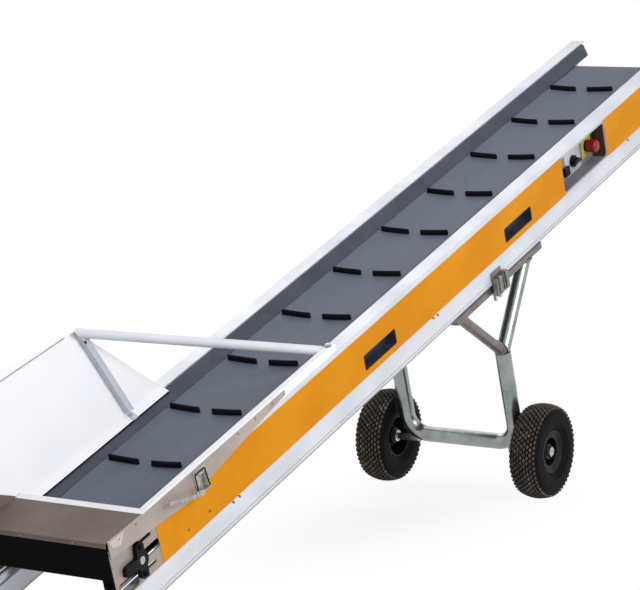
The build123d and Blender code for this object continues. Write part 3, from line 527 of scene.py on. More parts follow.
def end_tree(tree, geometry, material):
    """Make the instances real, give them their material, and send them out."""
    real = add_node(tree, "GeometryNodeRealizeInstances", {"Geometry": geometry})
    dressed = add_node(tree, "GeometryNodeSetMaterial", {"Geometry": real, "Material": material})
    add_node(tree, "NodeGroupOutput", {"Geometry": dressed})
    print("tree", tree.name, "has", len(tree.nodes), "nodes")


def grow(tree, host_mesh, sizes):
    """Run a tree on a host mesh and return what it grew as a plain mesh."""
    host = new_object("host", host_mesh)
    modifier = host.modifiers.new("grow", "NODES")
    modifier.node_group = tree
    inputs = {item.name: item.identifier for item in tree.interface.items_tree if item.in_out == "INPUT"}
    for label, value in sizes.items():
        modifier[inputs[label]] = value
    depsgraph = bpy.context.evaluated_depsgraph_get()
    grown = bpy.data.meshes.new_from_object(host.evaluated_get(depsgraph), depsgraph=depsgraph)
    bpy.data.objects.remove(host)
    return grown


def paths(lines, closed=False):
    """A host mesh of polylines in the belt's frame."""
    points, edges = [], []
    for line in lines:
        first, count = len(points), len(line)
        edges += [(first + i, first + (i + 1) % count) for i in range(count if closed else count - 1)]
        points += line
    host = bpy.data.meshes.new("paths")
    host.from_pydata([BELT @ Vector(point) for point in points], edges, [])
    return host


# %% [markdown]
# ## Stamp on points
# Screws, rivets, nuts and cleats are one shape set down many times. The host's points carry two directions
# each: the way the stamp faces, and the way its x axis lies. The tree turns a stamp to both.


# %% Stamp on points
def as_stamp(name, build, smooth_deg=35):
    """A small shape, in mm with its foot at z = 0, as an object to be stamped many times."""
    return new_object(name, to_mesh(name, build, smooth_deg=smooth_deg))


def set_down(tree, points, facing, along, stamp, size):
    """The part of a tree that turns a stamp to both directions and sets it down on points."""
    faced = add_node(tree, "FunctionNodeAlignRotationToVector", {"Vector": facing}, axis="Z")
    turns = {"Rotation": faced, "Vector": along}
    lain = add_node(tree, "FunctionNodeAlignRotationToVector", turns, axis="X", pivot_axis="Z")
    shape = add_node(tree, "GeometryNodeObjectInfo", {"Object": stamp}, transform_space="ORIGINAL")
    return add_node(tree, "GeometryNodeInstanceOnPoints", {
        "Points": points, "Instance": shape.outputs["Geometry"], "Rotation": lain, "Scale": size,
    })


stamp_tree, stamp_in = node_group(
    "stamp on points", (("Stamp", "NodeSocketObject"), ("Size", "NodeSocketFloat"))
)
ways = [
    add_node(
        stamp_tree, "GeometryNodeInputNamedAttribute", {"Name": name}, data_type="FLOAT_VECTOR"
    ).outputs["Attribute"]
    for name in ("facing", "along")
]
stamped = set_down(stamp_tree, stamp_in["Geometry"], *ways, stamp_in["Stamp"], stamp_in["Size"])
end_tree(stamp_tree, stamped, stamp_in["Material"])


def stamp_on(places, stamp, finish):
    """Stamp a shape at places in the belt's frame, each a point, a facing and a lying direction."""
    turn = BELT.to_quaternion()
    host = bpy.data.meshes.new("points")
    host.from_pydata([BELT @ Vector(point) for point, facing, along in places], [], [])
    for name, column in (("facing", 1), ("along", 2)):
        values = host.attributes.new(name, "FLOAT_VECTOR", "POINT")
        values.data.foreach_set("vector", [v for row in places for v in turn @ Vector(row[column])])
    grown = grow(stamp_tree, host, {"Stamp": stamp, "Size": MM, "Material": FINISHES[finish]})
    bpy.data.objects.remove(stamp)
    return grown


def add_turned(name, slot, places, finish, *parts, body="conveyor"):
    """A piece of turned stamps. Parts are the stamp's profiles, each with its steps."""
    build = bmesh.new()
    for profile, steps in parts:
        lathe(build, profile, steps)
    add_piece(name, stamp_on(places, as_stamp("stamp", build), finish), body=body)


# %% [markdown]
# ## The belt
# The real belt sags between the skirts into a shallow trough and lies flat where it wraps the drums. It
# could be a curve with a profile, but then it would have no trough. It is drawn as a loop of cross
# sections, each a strip 5 mm thick, with a UV map of metres along and across for its finish.

# %% The belt
TAIL_DRUM, HEAD_DRUM = 107.0, 3140.0
BELT_TURN = 51.0            # radius of the belt's outside on the drums
BELT_HALF, BELT_THICK = 135.0, 5.0
TROUGH_SAG, TROUGH_CURVE = 2.6, 4.2e-4      # drop at the middle, and rise per square mm from it
TROUGH_FADE = 260.0         # distance over which the trough flattens towards a drum
RUN = HEAD_DRUM - TAIL_DRUM
HALF_TURN = math.pi * BELT_TURN
LOOP = 2 * RUN + 2 * HALF_TURN


def belt_at(distance):
    """Place on the outside of the loop, its turn from level and the trough's share there."""
    distance %= LOOP
    if distance < RUN:
        share = min(distance / TROUGH_FADE, (RUN - distance) / TROUGH_FADE, 1.0)
        return Vector((TAIL_DRUM + distance, 0, 0)), 0.0, share * share * (3 - 2 * share)
    if RUN + HALF_TURN <= distance < 2 * RUN + HALF_TURN:
        return Vector((HEAD_DRUM - (distance - RUN - HALF_TURN), 0, -2 * BELT_TURN)), math.pi, 0.0
    if distance < RUN + HALF_TURN:
        drum, angle = HEAD_DRUM, (distance - RUN) / BELT_TURN
    else:
        drum, angle = TAIL_DRUM, math.pi + (distance - 2 * RUN - HALF_TURN) / BELT_TURN
    place = Vector((drum + BELT_TURN * math.sin(angle), 0, BELT_TURN * (math.cos(angle) - 1)))
    return place, angle, 0.0


def trough(y, share):
    """Height of the belt's face at a distance from its middle."""
    return share * (TROUGH_CURVE * y * y - TROUGH_SAG)


stations, start = [], 0.0
for length, steps in ((RUN, 70), (HALF_TURN, 22), (RUN, 24), (HALF_TURN, 22)):
    stations += list(np.linspace(start, start + length, steps, endpoint=False))
    start += length
across = np.linspace(-BELT_HALF, BELT_HALF, 19)
outline = [(y, 0.0) for y in across] + [(y, -BELT_THICK) for y in reversed(across)]
belt_points, belt_faces, belt_uvs = [], [], []
for distance in stations:
    place, angle, share = belt_at(distance)
    turn = Matrix.Rotation(angle, 3, "Y")
    for y, depth in outline:
        belt_points.append(place + turn @ Vector((0, y, trough(y, share) + depth)))
count = len(outline)
for s, distance in enumerate(stations):
    following = (s + 1) % len(stations)
    far = stations[following] if following else LOOP
    for i in range(count):
        j = (i + 1) % count
        belt_faces.append((s * count + i, following * count + i, following * count + j, s * count + j))
        corners = ((distance, i), (far, i), (far, j), (distance, j))
        belt_uvs += [(u * MM, outline[k][0] * MM) for u, k in corners]
belt_mesh = bpy.data.meshes.new("belt_loop")
belt_mesh.from_pydata([BELT @ point for point in belt_points], [], belt_faces)
belt_uv_layer = belt_mesh.uv_layers.new(name="along_across")
belt_uv_layer.data.foreach_set("uv", [v for pair in belt_uvs for v in pair])
belt_mesh.shade_smooth()
belt_mesh.set_sharp_from_angle(angle=math.radians(50))
add_piece("belt_loop", belt_mesh, "belt_rubber", replaces=("belt",))

# %% [markdown]
# ## Cleats
# Two moulded bars to a row keep the load from sliding back. Each bar is lofted from cross sections that
# thin towards the tip and pull in at the ends, and it bends with the trough. The rows are stamped round
# the loop at one pitch.

# %% Cleats
CLEAT_ROWS, FIRST_CLEAT = 23, 441.0
CLEAT_LENGTH, CLEAT_MIDDLE = 88.0, 63.0
CLEAT_FLANK = ((-5, -4), (-4.6, 2.5), (-4, 9), (-3.2, 12.6), (-1.7, 14.3))
CLEAT_SECTION = (*CLEAT_FLANK, (0, 14.6), *[(-x, z) for x, z in reversed(CLEAT_FLANK)])
CLEAT_CUTS = (
    # share of the half length, share of the width there, share of the height
    (1.0, 0.35, 0.84), (0.985, 0.75, 0.95), *[(t, 1.0, 1.0) for t in (0.94, 0.7, 0.35, 0.0)],
)
cleat_cuts = [(-t, pull, rise) for t, pull, rise in CLEAT_CUTS] + list(reversed(CLEAT_CUTS[:-1]))
cleat_build = bmesh.new()
for side, sign in SIDES:
    loops = []
    for t, pull, rise in cleat_cuts:
        y = sign * CLEAT_MIDDLE + t * CLEAT_LENGTH / 2
        loops.append([(x * pull, y, (z * rise if z > 0 else z) + trough(y, 1.0)) for x, z in CLEAT_SECTION])
    loft(cleat_build, loops)
cleat_pair = as_stamp("cleat_pair", cleat_build, 50)
cleat_places = []
for row in range(CLEAT_ROWS):
    place, angle, share = belt_at(FIRST_CLEAT - TAIL_DRUM + row * LOOP / CLEAT_ROWS)
    turn = Matrix.Rotation(angle, 3, "Y")
    cleat_places.append((place, turn @ Vector((0, 0, 1)), turn @ Vector((1, 0, 0))))
add_piece("cleats", stamp_on(cleat_places, cleat_pair, "cleat_rubber"))

# %% [markdown]
# ## Wheels
# A small balloon tyre on a moulded rim. The carcass and the rim are turned profiles. The tread is rows of
# diamond blocks, each row shifted by half a block, set on the rounded crown by a tree that works out every
# block's place.

# %% Tyre and rim profiles
WHEEL_RADIUS = 138.0
BLOCK_HEIGHT = 4.6
CROWN = WHEEL_RADIUS - BLOCK_HEIGHT
CROWN_SECTION = 90.0        # radius of the crown's own curve, across the tyre
crown_line = [
    (CROWN - CROWN_SECTION + math.sqrt(CROWN_SECTION ** 2 - y * y), y) for y in (0, 8, 16, 24, 31, 36, 40)
]
flank_line = [
    (119.0, 43.2), (112.5, 45.0), (104.0, 45.9), (95.0, 45.8), (86.0, 44.6), (84.6, 45.0), (83.4, 44.2),
    (77.0, 41.8), (70.0, 38.2), (66.0, 36.4), (64.6, 36.6), (63.4, 35.6), (61.5, 33.5), (60.2, 31.0),
]
half_tyre = crown_line + flank_line
TYRE_PROFILE = half_tyre + [(r, -y) for r, y in reversed(half_tyre[1:])]
RIM_PROFILE = [
    (59.8, -32), (59.8, 32), (62.6, 32.6), (63, 34.2), (61.5, 35.4), (58, 34.2), (54.5, 31), (51, 29.2),
    (45, 28.6), (41.5, 28), (40.2, 26.4), (39.6, 22), (38.8, 4), (37, 2.2), (27, 1.6), (24.6, 3), (24, 20),
    (22.6, 22), (10.3, 22), (10.3, -22), (23, -22), (24, -21), (25, -6), (38, -4.5), (50, 12), (55.4, 16),
    (55.6, -30), (58, -34.2), (61.5, -35.4), (63, -34.2), (62.6, -32.6),
]
print("tyre profile", len(TYRE_PROFILE), "points; rim profile", len(RIM_PROFILE), "points")

# %% Block tread
TREAD_INPUTS = {"Blocks": "Int", "Rows": "Int", "Crown": "Float", "Section": "Float", "Row pitch": "Float"}
tread_tree, tread_in = node_group("block tread", (
    *[(name, "NodeSocket" + kind) for name, kind in TREAD_INPUTS.items()], ("Block", "NodeSocketObject"),
))
TREAD_SUMS = (
    # result, operation, terms
    ("total", "MULTIPLY", "Blocks", "Rows"),
    ("share", "DIVIDE", "index", "Blocks"),
    ("row", "FLOOR", "share"),
    ("step", "MODULO", "index", "Blocks"),
    ("odd", "MODULO", "row", 2.0),
    ("shifted", "MULTIPLY_ADD", "odd", 0.5, "step"),
    ("round", "DIVIDE", "shifted", "Blocks"),
    ("turn", "MULTIPLY", "round", 2 * math.pi),
    ("last", "SUBTRACT", "Rows", 1.0),
    ("middle", "MULTIPLY", "last", 0.5),
    ("from_middle", "SUBTRACT", "row", "middle"),
    ("across", "MULTIPLY", "from_middle", "Row pitch"),
    ("sine", "DIVIDE", "across", "Section"),
    ("tilt", "ARCSINE", "sine"),
    ("level", "COSINE", "tilt"),
    ("dip", "SUBTRACT", "level", 1.0),
    ("radius", "MULTIPLY_ADD", "dip", "Section", "Crown"),
    ("cosine_turn", "COSINE", "turn"),
    ("sine_turn", "SINE", "turn"),
    ("x", "MULTIPLY", "radius", "cosine_turn"),
    ("y", "MULTIPLY", "radius", "sine_turn"),
    ("face_x", "MULTIPLY", "level", "cosine_turn"),
    ("face_y", "MULTIPLY", "level", "sine_turn"),
    ("along_x", "MULTIPLY", "sine_turn", -1.0),
)
sums = {name: tread_in[name] for name in TREAD_INPUTS}
sums["index"] = add_node(tread_tree, "GeometryNodeInputIndex")
for result, operation, *terms in TREAD_SUMS:
    inputs = {i: sums[term] if isinstance(term, str) else term for i, term in enumerate(terms)}
    sums[result] = add_node(tread_tree, "ShaderNodeMath", inputs, operation=operation, label=result)
block_place, block_facing, block_along = [
    add_node(tread_tree, "ShaderNodeCombineXYZ", {axis: sums[term] for axis, term in zip("XYZ", terms)})
    for terms in (("x", "y", "across"), ("face_x", "face_y", "sine"), ("along_x", "cosine_turn"))
]
block_points = add_node(tread_tree, "GeometryNodePoints", {"Count": sums["total"], "Position": block_place})
blocks = set_down(tread_tree, block_points, block_facing, block_along, tread_in["Block"], (1, 1, 1))
end_tree(tread_tree, blocks, tread_in["Material"])

# %% Wheels
TREAD_BLOCKS, TREAD_ROWS, ROW_PITCH = 52, 9, 9.0
WHEEL_STEPS = 96
# Level, half length and half width of each tier of a tread block, which is open underneath
BLOCK_TIERS = ((-1.5, 7.4, 5.2), (BLOCK_HEIGHT - 0.7, 6.2, 4.3), (BLOCK_HEIGHT, 5.5, 3.7))
block_build = bmesh.new()
tiers = [
    [block_build.verts.new(corner) for corner in ((long, 0, z), (0, wide, z), (-long, 0, z), (0, -wide, z))]
    for z, long, wide in BLOCK_TIERS
]
for tier, above in zip(tiers, tiers[1:]):
    for i in range(4):
        j = (i + 1) % 4
        block_build.faces.new((tier[i], tier[j], above[j], above[i]))
block_build.faces.new(tiers[-1])
block = as_stamp("block", block_build, 20)
wheel_middles = {}
for side, sign in SIDES:
    low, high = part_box(f"tyre_{side}")
    wheel_middles[side] = (low + high) / 2
    facing = Matrix.Rotation(-sign * math.pi / 2, 4, "X")
    wheel_place = Matrix.Translation(wheel_middles[side]) @ facing @ Matrix.Scale(MM, 4)
    body = f"wheel_{side}"
    for name, profile, finish, slot, node in (
        ("tyre_carcass", TYRE_PROFILE, "tyre_rubber", "tyre_rubber", "tyre"),
        ("dished_rim", RIM_PROFILE, "black_rim_plastic", "rim_black", "wheel_rim"),
    ):
        turned = shaped(lathe, profile, WHEEL_STEPS, closed=True)
        add_piece(f"{name}_{side}", turned, finish, body, (f"{node}_{side}",), wheel_place)
    tread_mesh = grow(tread_tree, bpy.data.meshes.new("no_points"), {
        "Blocks": TREAD_BLOCKS, "Rows": TREAD_ROWS, "Crown": CROWN, "Section": CROWN_SECTION,
        "Row pitch": ROW_PITCH, "Block": block, "Material": FINISHES["dusty_tread_rubber"],
    })
    tread_mesh.transform(wheel_place)
    add_piece(f"tread_blocks_{side}", tread_mesh, body=body)
bpy.data.objects.remove(block)

# %% [markdown]
# ## Valves
# Each rim has a rubber valve stem with a cap, standing in the dish beside the hub. It is small and round,
# so a turned profile does for it.

# %% Valves
VALVE = ((0, 0), (6, 0), (5.2, 3), (3.6, 5), (3.2, 14), (3.8, 14.4), (3.8, 22), (2.6, 23.4), (0, 23.6))
SMALL_STEPS = 14        # steps round a small turned piece
for side, sign in SIDES:
    spot = TO_BELT @ wheel_middles[side] + Vector((-22, sign * 1.2, -22))
    lean = Vector((-0.3, sign * 0.9, -0.3))
    add_turned(
        f"valve_stem_{side}", "rim_black", [(spot, lean, (1, 0, 0))], "black_switch_plastic",
        (VALVE, SMALL_STEPS), body=f"wheel_{side}",
    )

# %% [markdown]
# ## Screws and rivets
# Pan-head screws hold the film's edge strip and the return rollers to the rails. Dome rivets hold the
# hopper's sheets. They are stamped on points that lie on the face that carries them.

# %% Screws and rivets
WEB_FACE, FILM_FACE, CHAMBER_FACE = 192.0, 193.0, 200.0
CHAMBER_TOP = -111.0
WEB_SCREWS = ((403, -86), (309, -85), (306, -19))
SHOULDER_SCREWS = ((527, -113.5), (498, -114), (1539, -113.5), (1562, -114.5), (2824, -114))
PAN_HEAD = ((0, -1), (3.8, -1), (3.8, 0.5), (3.3, 1.5), (2.2, 2.1), (1.3, 2.2), (1.1, 1.1), (0, 1.1))
screw_places = []
for side, sign in SIDES:
    screw_places += [((x, sign * FILM_FACE, z), (0, sign, 0), (1, 0, 0.4)) for x, z in WEB_SCREWS]
    screw_places += [
        ((x, sign * (WEB_FACE + CHAMBER_TOP - z), z), (0, sign * 0.7, 0.7), (1, 0, 0))
        for x, z in SHOULDER_SCREWS
    ]
add_turned("rail_screws", "zinc_steel", screw_places, "browned_screw", (PAN_HEAD, SMALL_STEPS))

END_LIP_FACE, END_LIP_LEVEL = -9.0, 49.0
NEAR_PLATE_FACE, NEAR_RIVET_LEVEL = 204.0, 42.0
DOME = ((0, -0.5), (3.2, -0.5), (3.2, 0.3), (2.6, 1.2), (1.4, 1.7), (0, 1.9))
rivet_places = [((END_LIP_FACE, y, END_LIP_LEVEL), (-1, 0, 0), (0, 1, 0)) for y in (-110, 40)]
rivet_places += [
    ((x, -NEAR_PLATE_FACE, NEAR_RIVET_LEVEL), (0, -1, 0), (1, 0, 0)) for x in (40, 110, 560, 640, 720)
]
add_turned("hopper_rivets", "zinc_steel", rivet_places, "weathered_galvanised_steel", (DOME, SMALL_STEPS))

# %% [markdown]
# ## Bolts and nuts
# Hexagon heads on washers hold the brace and the head drum. The clamp's studs take a nut each. A hexagon
# is a profile spun in six steps, and its washer is the same tool with more steps. The studs' thread is
# drawn as rings, because a helix would look the same at this size.

# %% Bolts and nuts
BAR_BOTTOM, CLAMP_SHEET = -193.5, 6.0
STAND = 1904.0
BRACE_BOLT = (1024.0, -190.0, 51.0)
HEX_STEPS, WASHER_STEPS = 6, 24
bolt_places = [
    ((HEAD_DRUM, sign * WEB_FACE, -BELT_TURN), (0, sign, 0), (1, 0, 0.2)) for side, sign in SIDES
]
bolt_places.append((BRACE_BOLT, (0, 0, 1), (1, 0.3, 0)))
add_turned(
    "frame_bolts", "zinc_steel", bolt_places, "bright_zinc",
    (((0, 0), (10.5, 0), (10.5, 1.4), (10.0, 1.8), (0, 1.8)), WASHER_STEPS),
    (((0, 1.8), (7.4, 1.8), (7.4, 6.0), (6.4, 7.0), (0, 7.0)), HEX_STEPS),
)

thread = [(5.4 if turn % 2 else 5.0, 9.2 + 0.8 * turn) for turn in range(17)]
nut_places = [
    ((STAND + shift, sign * (CHAMBER_FACE - 8.5), BAR_BOTTOM - CLAMP_SHEET), (0, 0, -1), (1, 0.2 * shift, 0))
    for side, sign in SIDES
    for shift in (-14, 14)
]
add_turned(
    "clamp_nuts", "zinc_steel", nut_places, "bright_zinc",
    (((0, 0), (10, 0), (10, 1.6), (0, 1.6)), WASHER_STEPS),
    (((0, 1.6), (8.6, 1.6), (9.2, 2.4), (9.2, 8.2), (8.2, 9.2), (0, 9.2)), HEX_STEPS),
    (((0, 9.2), *thread, (5.2, 23), (4.0, 24.4), (0, 24.4)), SMALL_STEPS),
)

# %% [markdown]
# ## Weld beads
# The stand is welded up from tube. A weld is a row of overlapping puddles, each a little different, along
# the line where two pieces meet. The tree walks a path and sets a small ball at each step, with a fixed
# seed for its size.

# %% Weld beads
weld_tree, weld_in = node_group(
    "weld bead", (("Pitch", "NodeSocketFloat"), ("Bead radius", "NodeSocketFloat"), ("Seed", "NodeSocketInt"))
)
weld_line = add_node(weld_tree, "GeometryNodeMeshToCurve", {"Mesh": weld_in["Geometry"]})
puddles = add_node(
    weld_tree, "GeometryNodeCurveToPoints", {"Curve": weld_line, "Length": weld_in["Pitch"]}, mode="LENGTH"
)
ball = add_node(weld_tree, "GeometryNodeMeshIcoSphere", {"Radius": weld_in["Bead radius"], "Subdivisions": 2})
uneven = add_node(
    weld_tree, "FunctionNodeRandomValue", {2: 0.88, 3: 1.12, "Seed": weld_in["Seed"]}, data_type="FLOAT"
).outputs[1]
beads = add_node(
    weld_tree, "GeometryNodeInstanceOnPoints", {"Points": puddles, "Instance": ball, "Scale": uneven}
)
softened = add_node(weld_tree, "GeometryNodeSetShadeSmooth", {"Geometry": beads})
end_tree(weld_tree, softened, weld_in["Material"])

HOOP_REACH, HOOP_RADIUS, FORK_LEVEL, ARM_RUN = 178.0, 23.0, -393.5, 200.0
LEG_RADIUS, STRUT_RADIUS = 20.0, 15.5
WELD_STEPS, WELD_PITCH, WELD_RADIUS, WELD_SEED = 48, 3.4, 3.6, 7
angles = [2 * math.pi * step / WELD_STEPS for step in range(WELD_STEPS)]
rings = []
for side, sign in SIDES:
    # Legs and struts lean at 45 degrees, so they meet the bar in ovals
    for way_along, radius in ((1, LEG_RADIUS), (-1, STRUT_RADIUS)):
        foot = Vector((STAND + way_along * ARM_RUN, sign * HOOP_REACH, BAR_BOTTOM))
        oval = radius * math.sqrt(2)
        rings.append([foot + Vector((oval * math.cos(a), radius * math.sin(a), 0)) for a in angles])
    # A strut meets the hoop on its round side
    fork_ring = []
    for a in angles:
        y = STRUT_RADIUS * math.sin(a)
        reach = math.sqrt(HOOP_RADIUS ** 2 - y ** 2)
        rise = max(STRUT_RADIUS * math.sqrt(2) * math.cos(a) + reach, 0.0)
        fork_ring.append(Vector((STAND - reach, sign * HOOP_REACH + y, FORK_LEVEL + rise)))
    rings.append(fork_ring)
weld_mesh = grow(weld_tree, paths(rings, closed=True), {
    "Pitch": WELD_PITCH * MM, "Bead radius": WELD_RADIUS * MM, "Seed": WELD_SEED,
    "Material": FINISHES["weld_bead"],
})
add_piece("stand_welds", weld_mesh)

# %% [markdown]
# ## Bent rods and wires
# The latches pull with a bent wire, and a threaded rod behind each web sets the tail drum. Both follow a
# line with rounded corners, so one tree takes a polyline, fillets it and wraps a round skin on it.

# %% Bent rods and wires
rod_tree, rod_in = node_group(
    "bent rod", (("Rod radius", "NodeSocketFloat"), ("Bend", "NodeSocketFloat"), ("Sides", "NodeSocketInt"))
)
rod_line = add_node(rod_tree, "GeometryNodeMeshToCurve", {"Mesh": rod_in["Geometry"]})
rod_bend = {"Curve": rod_line, "Radius": rod_in["Bend"], "Count": 8}
rod_bent = add_node(rod_tree, "GeometryNodeFilletCurve", rod_bend, mode="POLY")
rod_round = add_node(
    rod_tree, "GeometryNodeCurvePrimitiveCircle",
    {"Resolution": rod_in["Sides"], "Radius": rod_in["Rod radius"]},
)
rod_skin = add_node(
    rod_tree, "GeometryNodeCurveToMesh", {"Curve": rod_bent, "Profile Curve": rod_round, "Fill Caps": True}
)
rod_soft = add_node(rod_tree, "GeometryNodeSetShadeSmooth", {"Geometry": rod_skin})
end_tree(rod_tree, rod_soft, rod_in["Material"])
ROD_SIDES = 12


def bend_rods(lines, radius_mm, bend_mm, finish):
    """Round rods along polylines in the belt's frame."""
    return grow(rod_tree, paths(lines), {
        "Rod radius": radius_mm * MM, "Bend": bend_mm * MM, "Sides": ROD_SIDES, "Material": FINISHES[finish],
    })


LATCH_PLACE, CHEEK_HALF, LATCH_FACE = 375.0, 23.0, 204.0
LATCH_LEVELS = (("near", -1, 15.0), ("far", 1, -4.0))
wires = []
for side, sign, level in LATCH_LEVELS:
    y = sign * (LATCH_FACE + 17.0)
    low, top = level - CHEEK_HALF + 4, level + CHEEK_HALF + 10
    wires.append([(LATCH_PLACE + x, y, z) for x, z in ((-34, low), (-36, top), (6, top), (14, low))])
add_piece("latch_wires", bend_rods(wires, 1.9, 5.0, "black_cast_iron"))

ROD_LEVEL, ROD_REACH = -88.0, 176.0        # reach is the distance from the middle of the belt
rods = [[(x, sign * ROD_REACH, ROD_LEVEL) for x in (0.5, 122.0)] for side, sign in SIDES]
add_piece("tension_rods", bend_rods(rods, 5.0, 1.0, "weathered_galvanised_steel"))

# %% [markdown]
# ## Toggle latches
# A latch pulls the hopper's rim onto the rail. It is pressed from sheet: a base plate, two cheeks that
# stand out from it, a hook plate between them, and a long lever that lies level. Thin softened plates
# stand for its solid.

# %% Toggle latches
UPRIGHT = Matrix.Rotation(math.pi / 2, 4, "X")
LEVER_LENGTH, LEVER_RISE = 134.0, -18.7     # it lies level, so against the belt it falls towards the head
lever_along = -28 - LEVER_LENGTH / 2 * math.cos(math.radians(LEVER_RISE))
lever_up = -CHEEK_HALF - LEVER_LENGTH / 2 * math.sin(math.radians(LEVER_RISE))
LATCH_PLATES = (
    # length, height, corner radius, thickness; along, out and up from the latch's middle; turn
    (52, 54, 4, 2.5, 3, 0, 4, 0),                                       # base
    (11, 44, 3, 2.4, 18, 9, 0, 0),                                      # hook plate
    (LEVER_LENGTH, 9, 4, 3, lever_along, 16, lever_up, LEVER_RISE),     # lever
    (34, 14, 5, 3, -26, 15.4, 3 - CHEEK_HALF, LEVER_RISE),              # the lever's root
)
for side, sign, level in LATCH_LEVELS:
    latch = bmesh.new()
    for *sizes, along, out, up, turn_deg in LATCH_PLATES:
        plate(latch, *sizes, on_side(sign, LATCH_PLACE + along, LATCH_FACE + out, level + up, turn_deg))
    for shift in (-CHEEK_HALF, CHEEK_HALF):
        cheek = on_side(sign, LATCH_PLACE, LATCH_FACE + 9.5, level + shift)
        plate(latch, 38, 15, 3, 2.4, cheek @ UPRIGHT @ Matrix.Translation((0, 0, -1.2)))
    nodes = (f"toggle_latch_{side}",)
    add_piece(f"pressed_latch_{side}", latch, "dull_zinc_latch", replaces=nodes)

# %% [markdown]
# ## Clamp jaws
# The stand hangs from two screw clamps on the rails' bottom chambers. The jaw is a steel casting with
# upright ribs and a tab that hooks over the chamber's shoulder. Ribs and tab are softened plates set side
# by side.

# %% Clamp jaws
JAW_RIBS = ((1870, 7), (1891, 19), (1911, 5), (1930, 17))       # middle and width of each rib, along the rail
JAW_PLACE, TAB_PLACE = 1902, 1894
JAW_TOP, JAW_FOOT = -146.0, -199.0
jaw_middle, jaw_height = (JAW_TOP + JAW_FOOT) / 2, JAW_TOP - JAW_FOOT
for side, sign in SIDES:
    jaw = bmesh.new()
    plate(jaw, 72, jaw_height - 6, 3, 2.5, on_side(sign, JAW_PLACE, CHAMBER_FACE + 6.1, jaw_middle))
    for rib, width in JAW_RIBS:
        plate(jaw, width, jaw_height, 2.4, 18, on_side(sign, rib, CHAMBER_FACE + 0.2, jaw_middle), edge=1.2)
    add_piece(f"clamp_jaw_{side}", jaw, "grimy_clamp_steel")
    tab = shaped(plate, 60, 24, 3, 3, on_side(sign, TAB_PLACE, CHAMBER_FACE + 0.3, JAW_TOP + 4))
    add_piece(f"clamp_tab_{side}", tab, "weathered_galvanised_steel")

# %% [markdown]
# ## Grip bowls
# Each hand hole has a moulded bowl behind it, so that fingers can't reach the running belt. The bowl is
# lofted from round-cornered rims that narrow towards its floor, and a second set of rims, a little larger,
# gives it thickness.

# %% Grip bowls
GRIP_LEVEL, WEB_INSIDE = -71.0, 187.9
BOWL_LENGTH, BOWL_HEIGHT, BOWL_ROUNDING = 172, 44, 7
BOWL_WALL, BOWL_FLOOR = 2, 1.2
BOWL_RIMS = ((0, 0), (-1, 10), (-2, 22), (-3.5, 29), (-6, 30.6))    # growth of the rim, and its depth
inside, outside = [], []
for more, depth in BOWL_RIMS:
    length, height = BOWL_LENGTH + more, BOWL_HEIGHT + more
    inside.append(rounded_rim(length, height, BOWL_ROUNDING, depth))
    outer = (length + 2 * BOWL_WALL, height + 2 * BOWL_WALL, BOWL_ROUNDING + 1)
    outside.append(rounded_rim(*outer, depth + BOWL_FLOOR if depth else 0))
for side, sign in SIDES:
    bowls = bmesh.new()
    for x in HAND_HOLES:
        place = on_side(-sign, x, -WEB_INSIDE, GRIP_LEVEL)
        loft(bowls, [[place @ point for point in rim] for rim in [*reversed(inside), *outside]])
    add_piece(f"grip_bowls_{side}", bowls, "slate_grip_plastic")

# %% [markdown]
# ## Hopper details
# A gusset of the end sheet, in the end wall's painted shade, is folded up against the far wall's inside, and
# a tab of it laps the near plate's corner in a paler sheet that is a painted highlight. A thin dark rod under
# the far wall's top edge is painted shade along that edge, and a black cord at the flap's foot is the painted
# shadow of the gap between the flap and the skirt. The corner post stands on a small foot that follows the
# flap.


# %% Hopper details
def leaning(lean, x, y, z):
    """A place that leans back: its x axis uphill, its y axis up the slant and its z axis off the slant."""
    return Matrix.Translation((x, y, z)) @ Matrix.Rotation(lean, 4, "X")


WALL_LEAN, WALL_FOOT, WALL_LEVEL = math.radians(65.5), 158.0, 31.2
wall_place = leaning(WALL_LEAN, 0, WALL_FOOT, WALL_LEVEL)
GUSSET = ((159, 14), (107, 48), (103, 50), (30, 50), (26, 47), (14, 14))    # along the rails, and up the wall
gusset = [[wall_place @ Vector((x, up, level)) for x, up in GUSSET] for level in (0.1, 1.6)]
add_piece("end_gusset", shaped(loft, gusset), "dull_aluminium_sheet")
# Painted shade: a thin dark rod along the far wall stands for the shadow under its top edge
FOLD_SHADOW_ENDS = ((94, 270), (560, 252))
fold_shadow_line = [wall_place @ Vector((x, up, 0.6)) for x, up in FOLD_SHADOW_ENDS]
add_piece("wall_hem", bend_rods([fold_shadow_line], 1.1, 0.5, "weathered_galvanised_steel"))
# Painted shadow: a black cord at the flap's foot stands for the shadow gap between the flap and the skirt
FLAP_EDGE = (139.0, 20.4)       # across, and above the belt
flap_shadow_line = [(x, *FLAP_EDGE) for x in (168, 764)]
add_piece("flap_seal", bend_rods([flap_shadow_line], 2.2, 0.5, "cleat_rubber"))
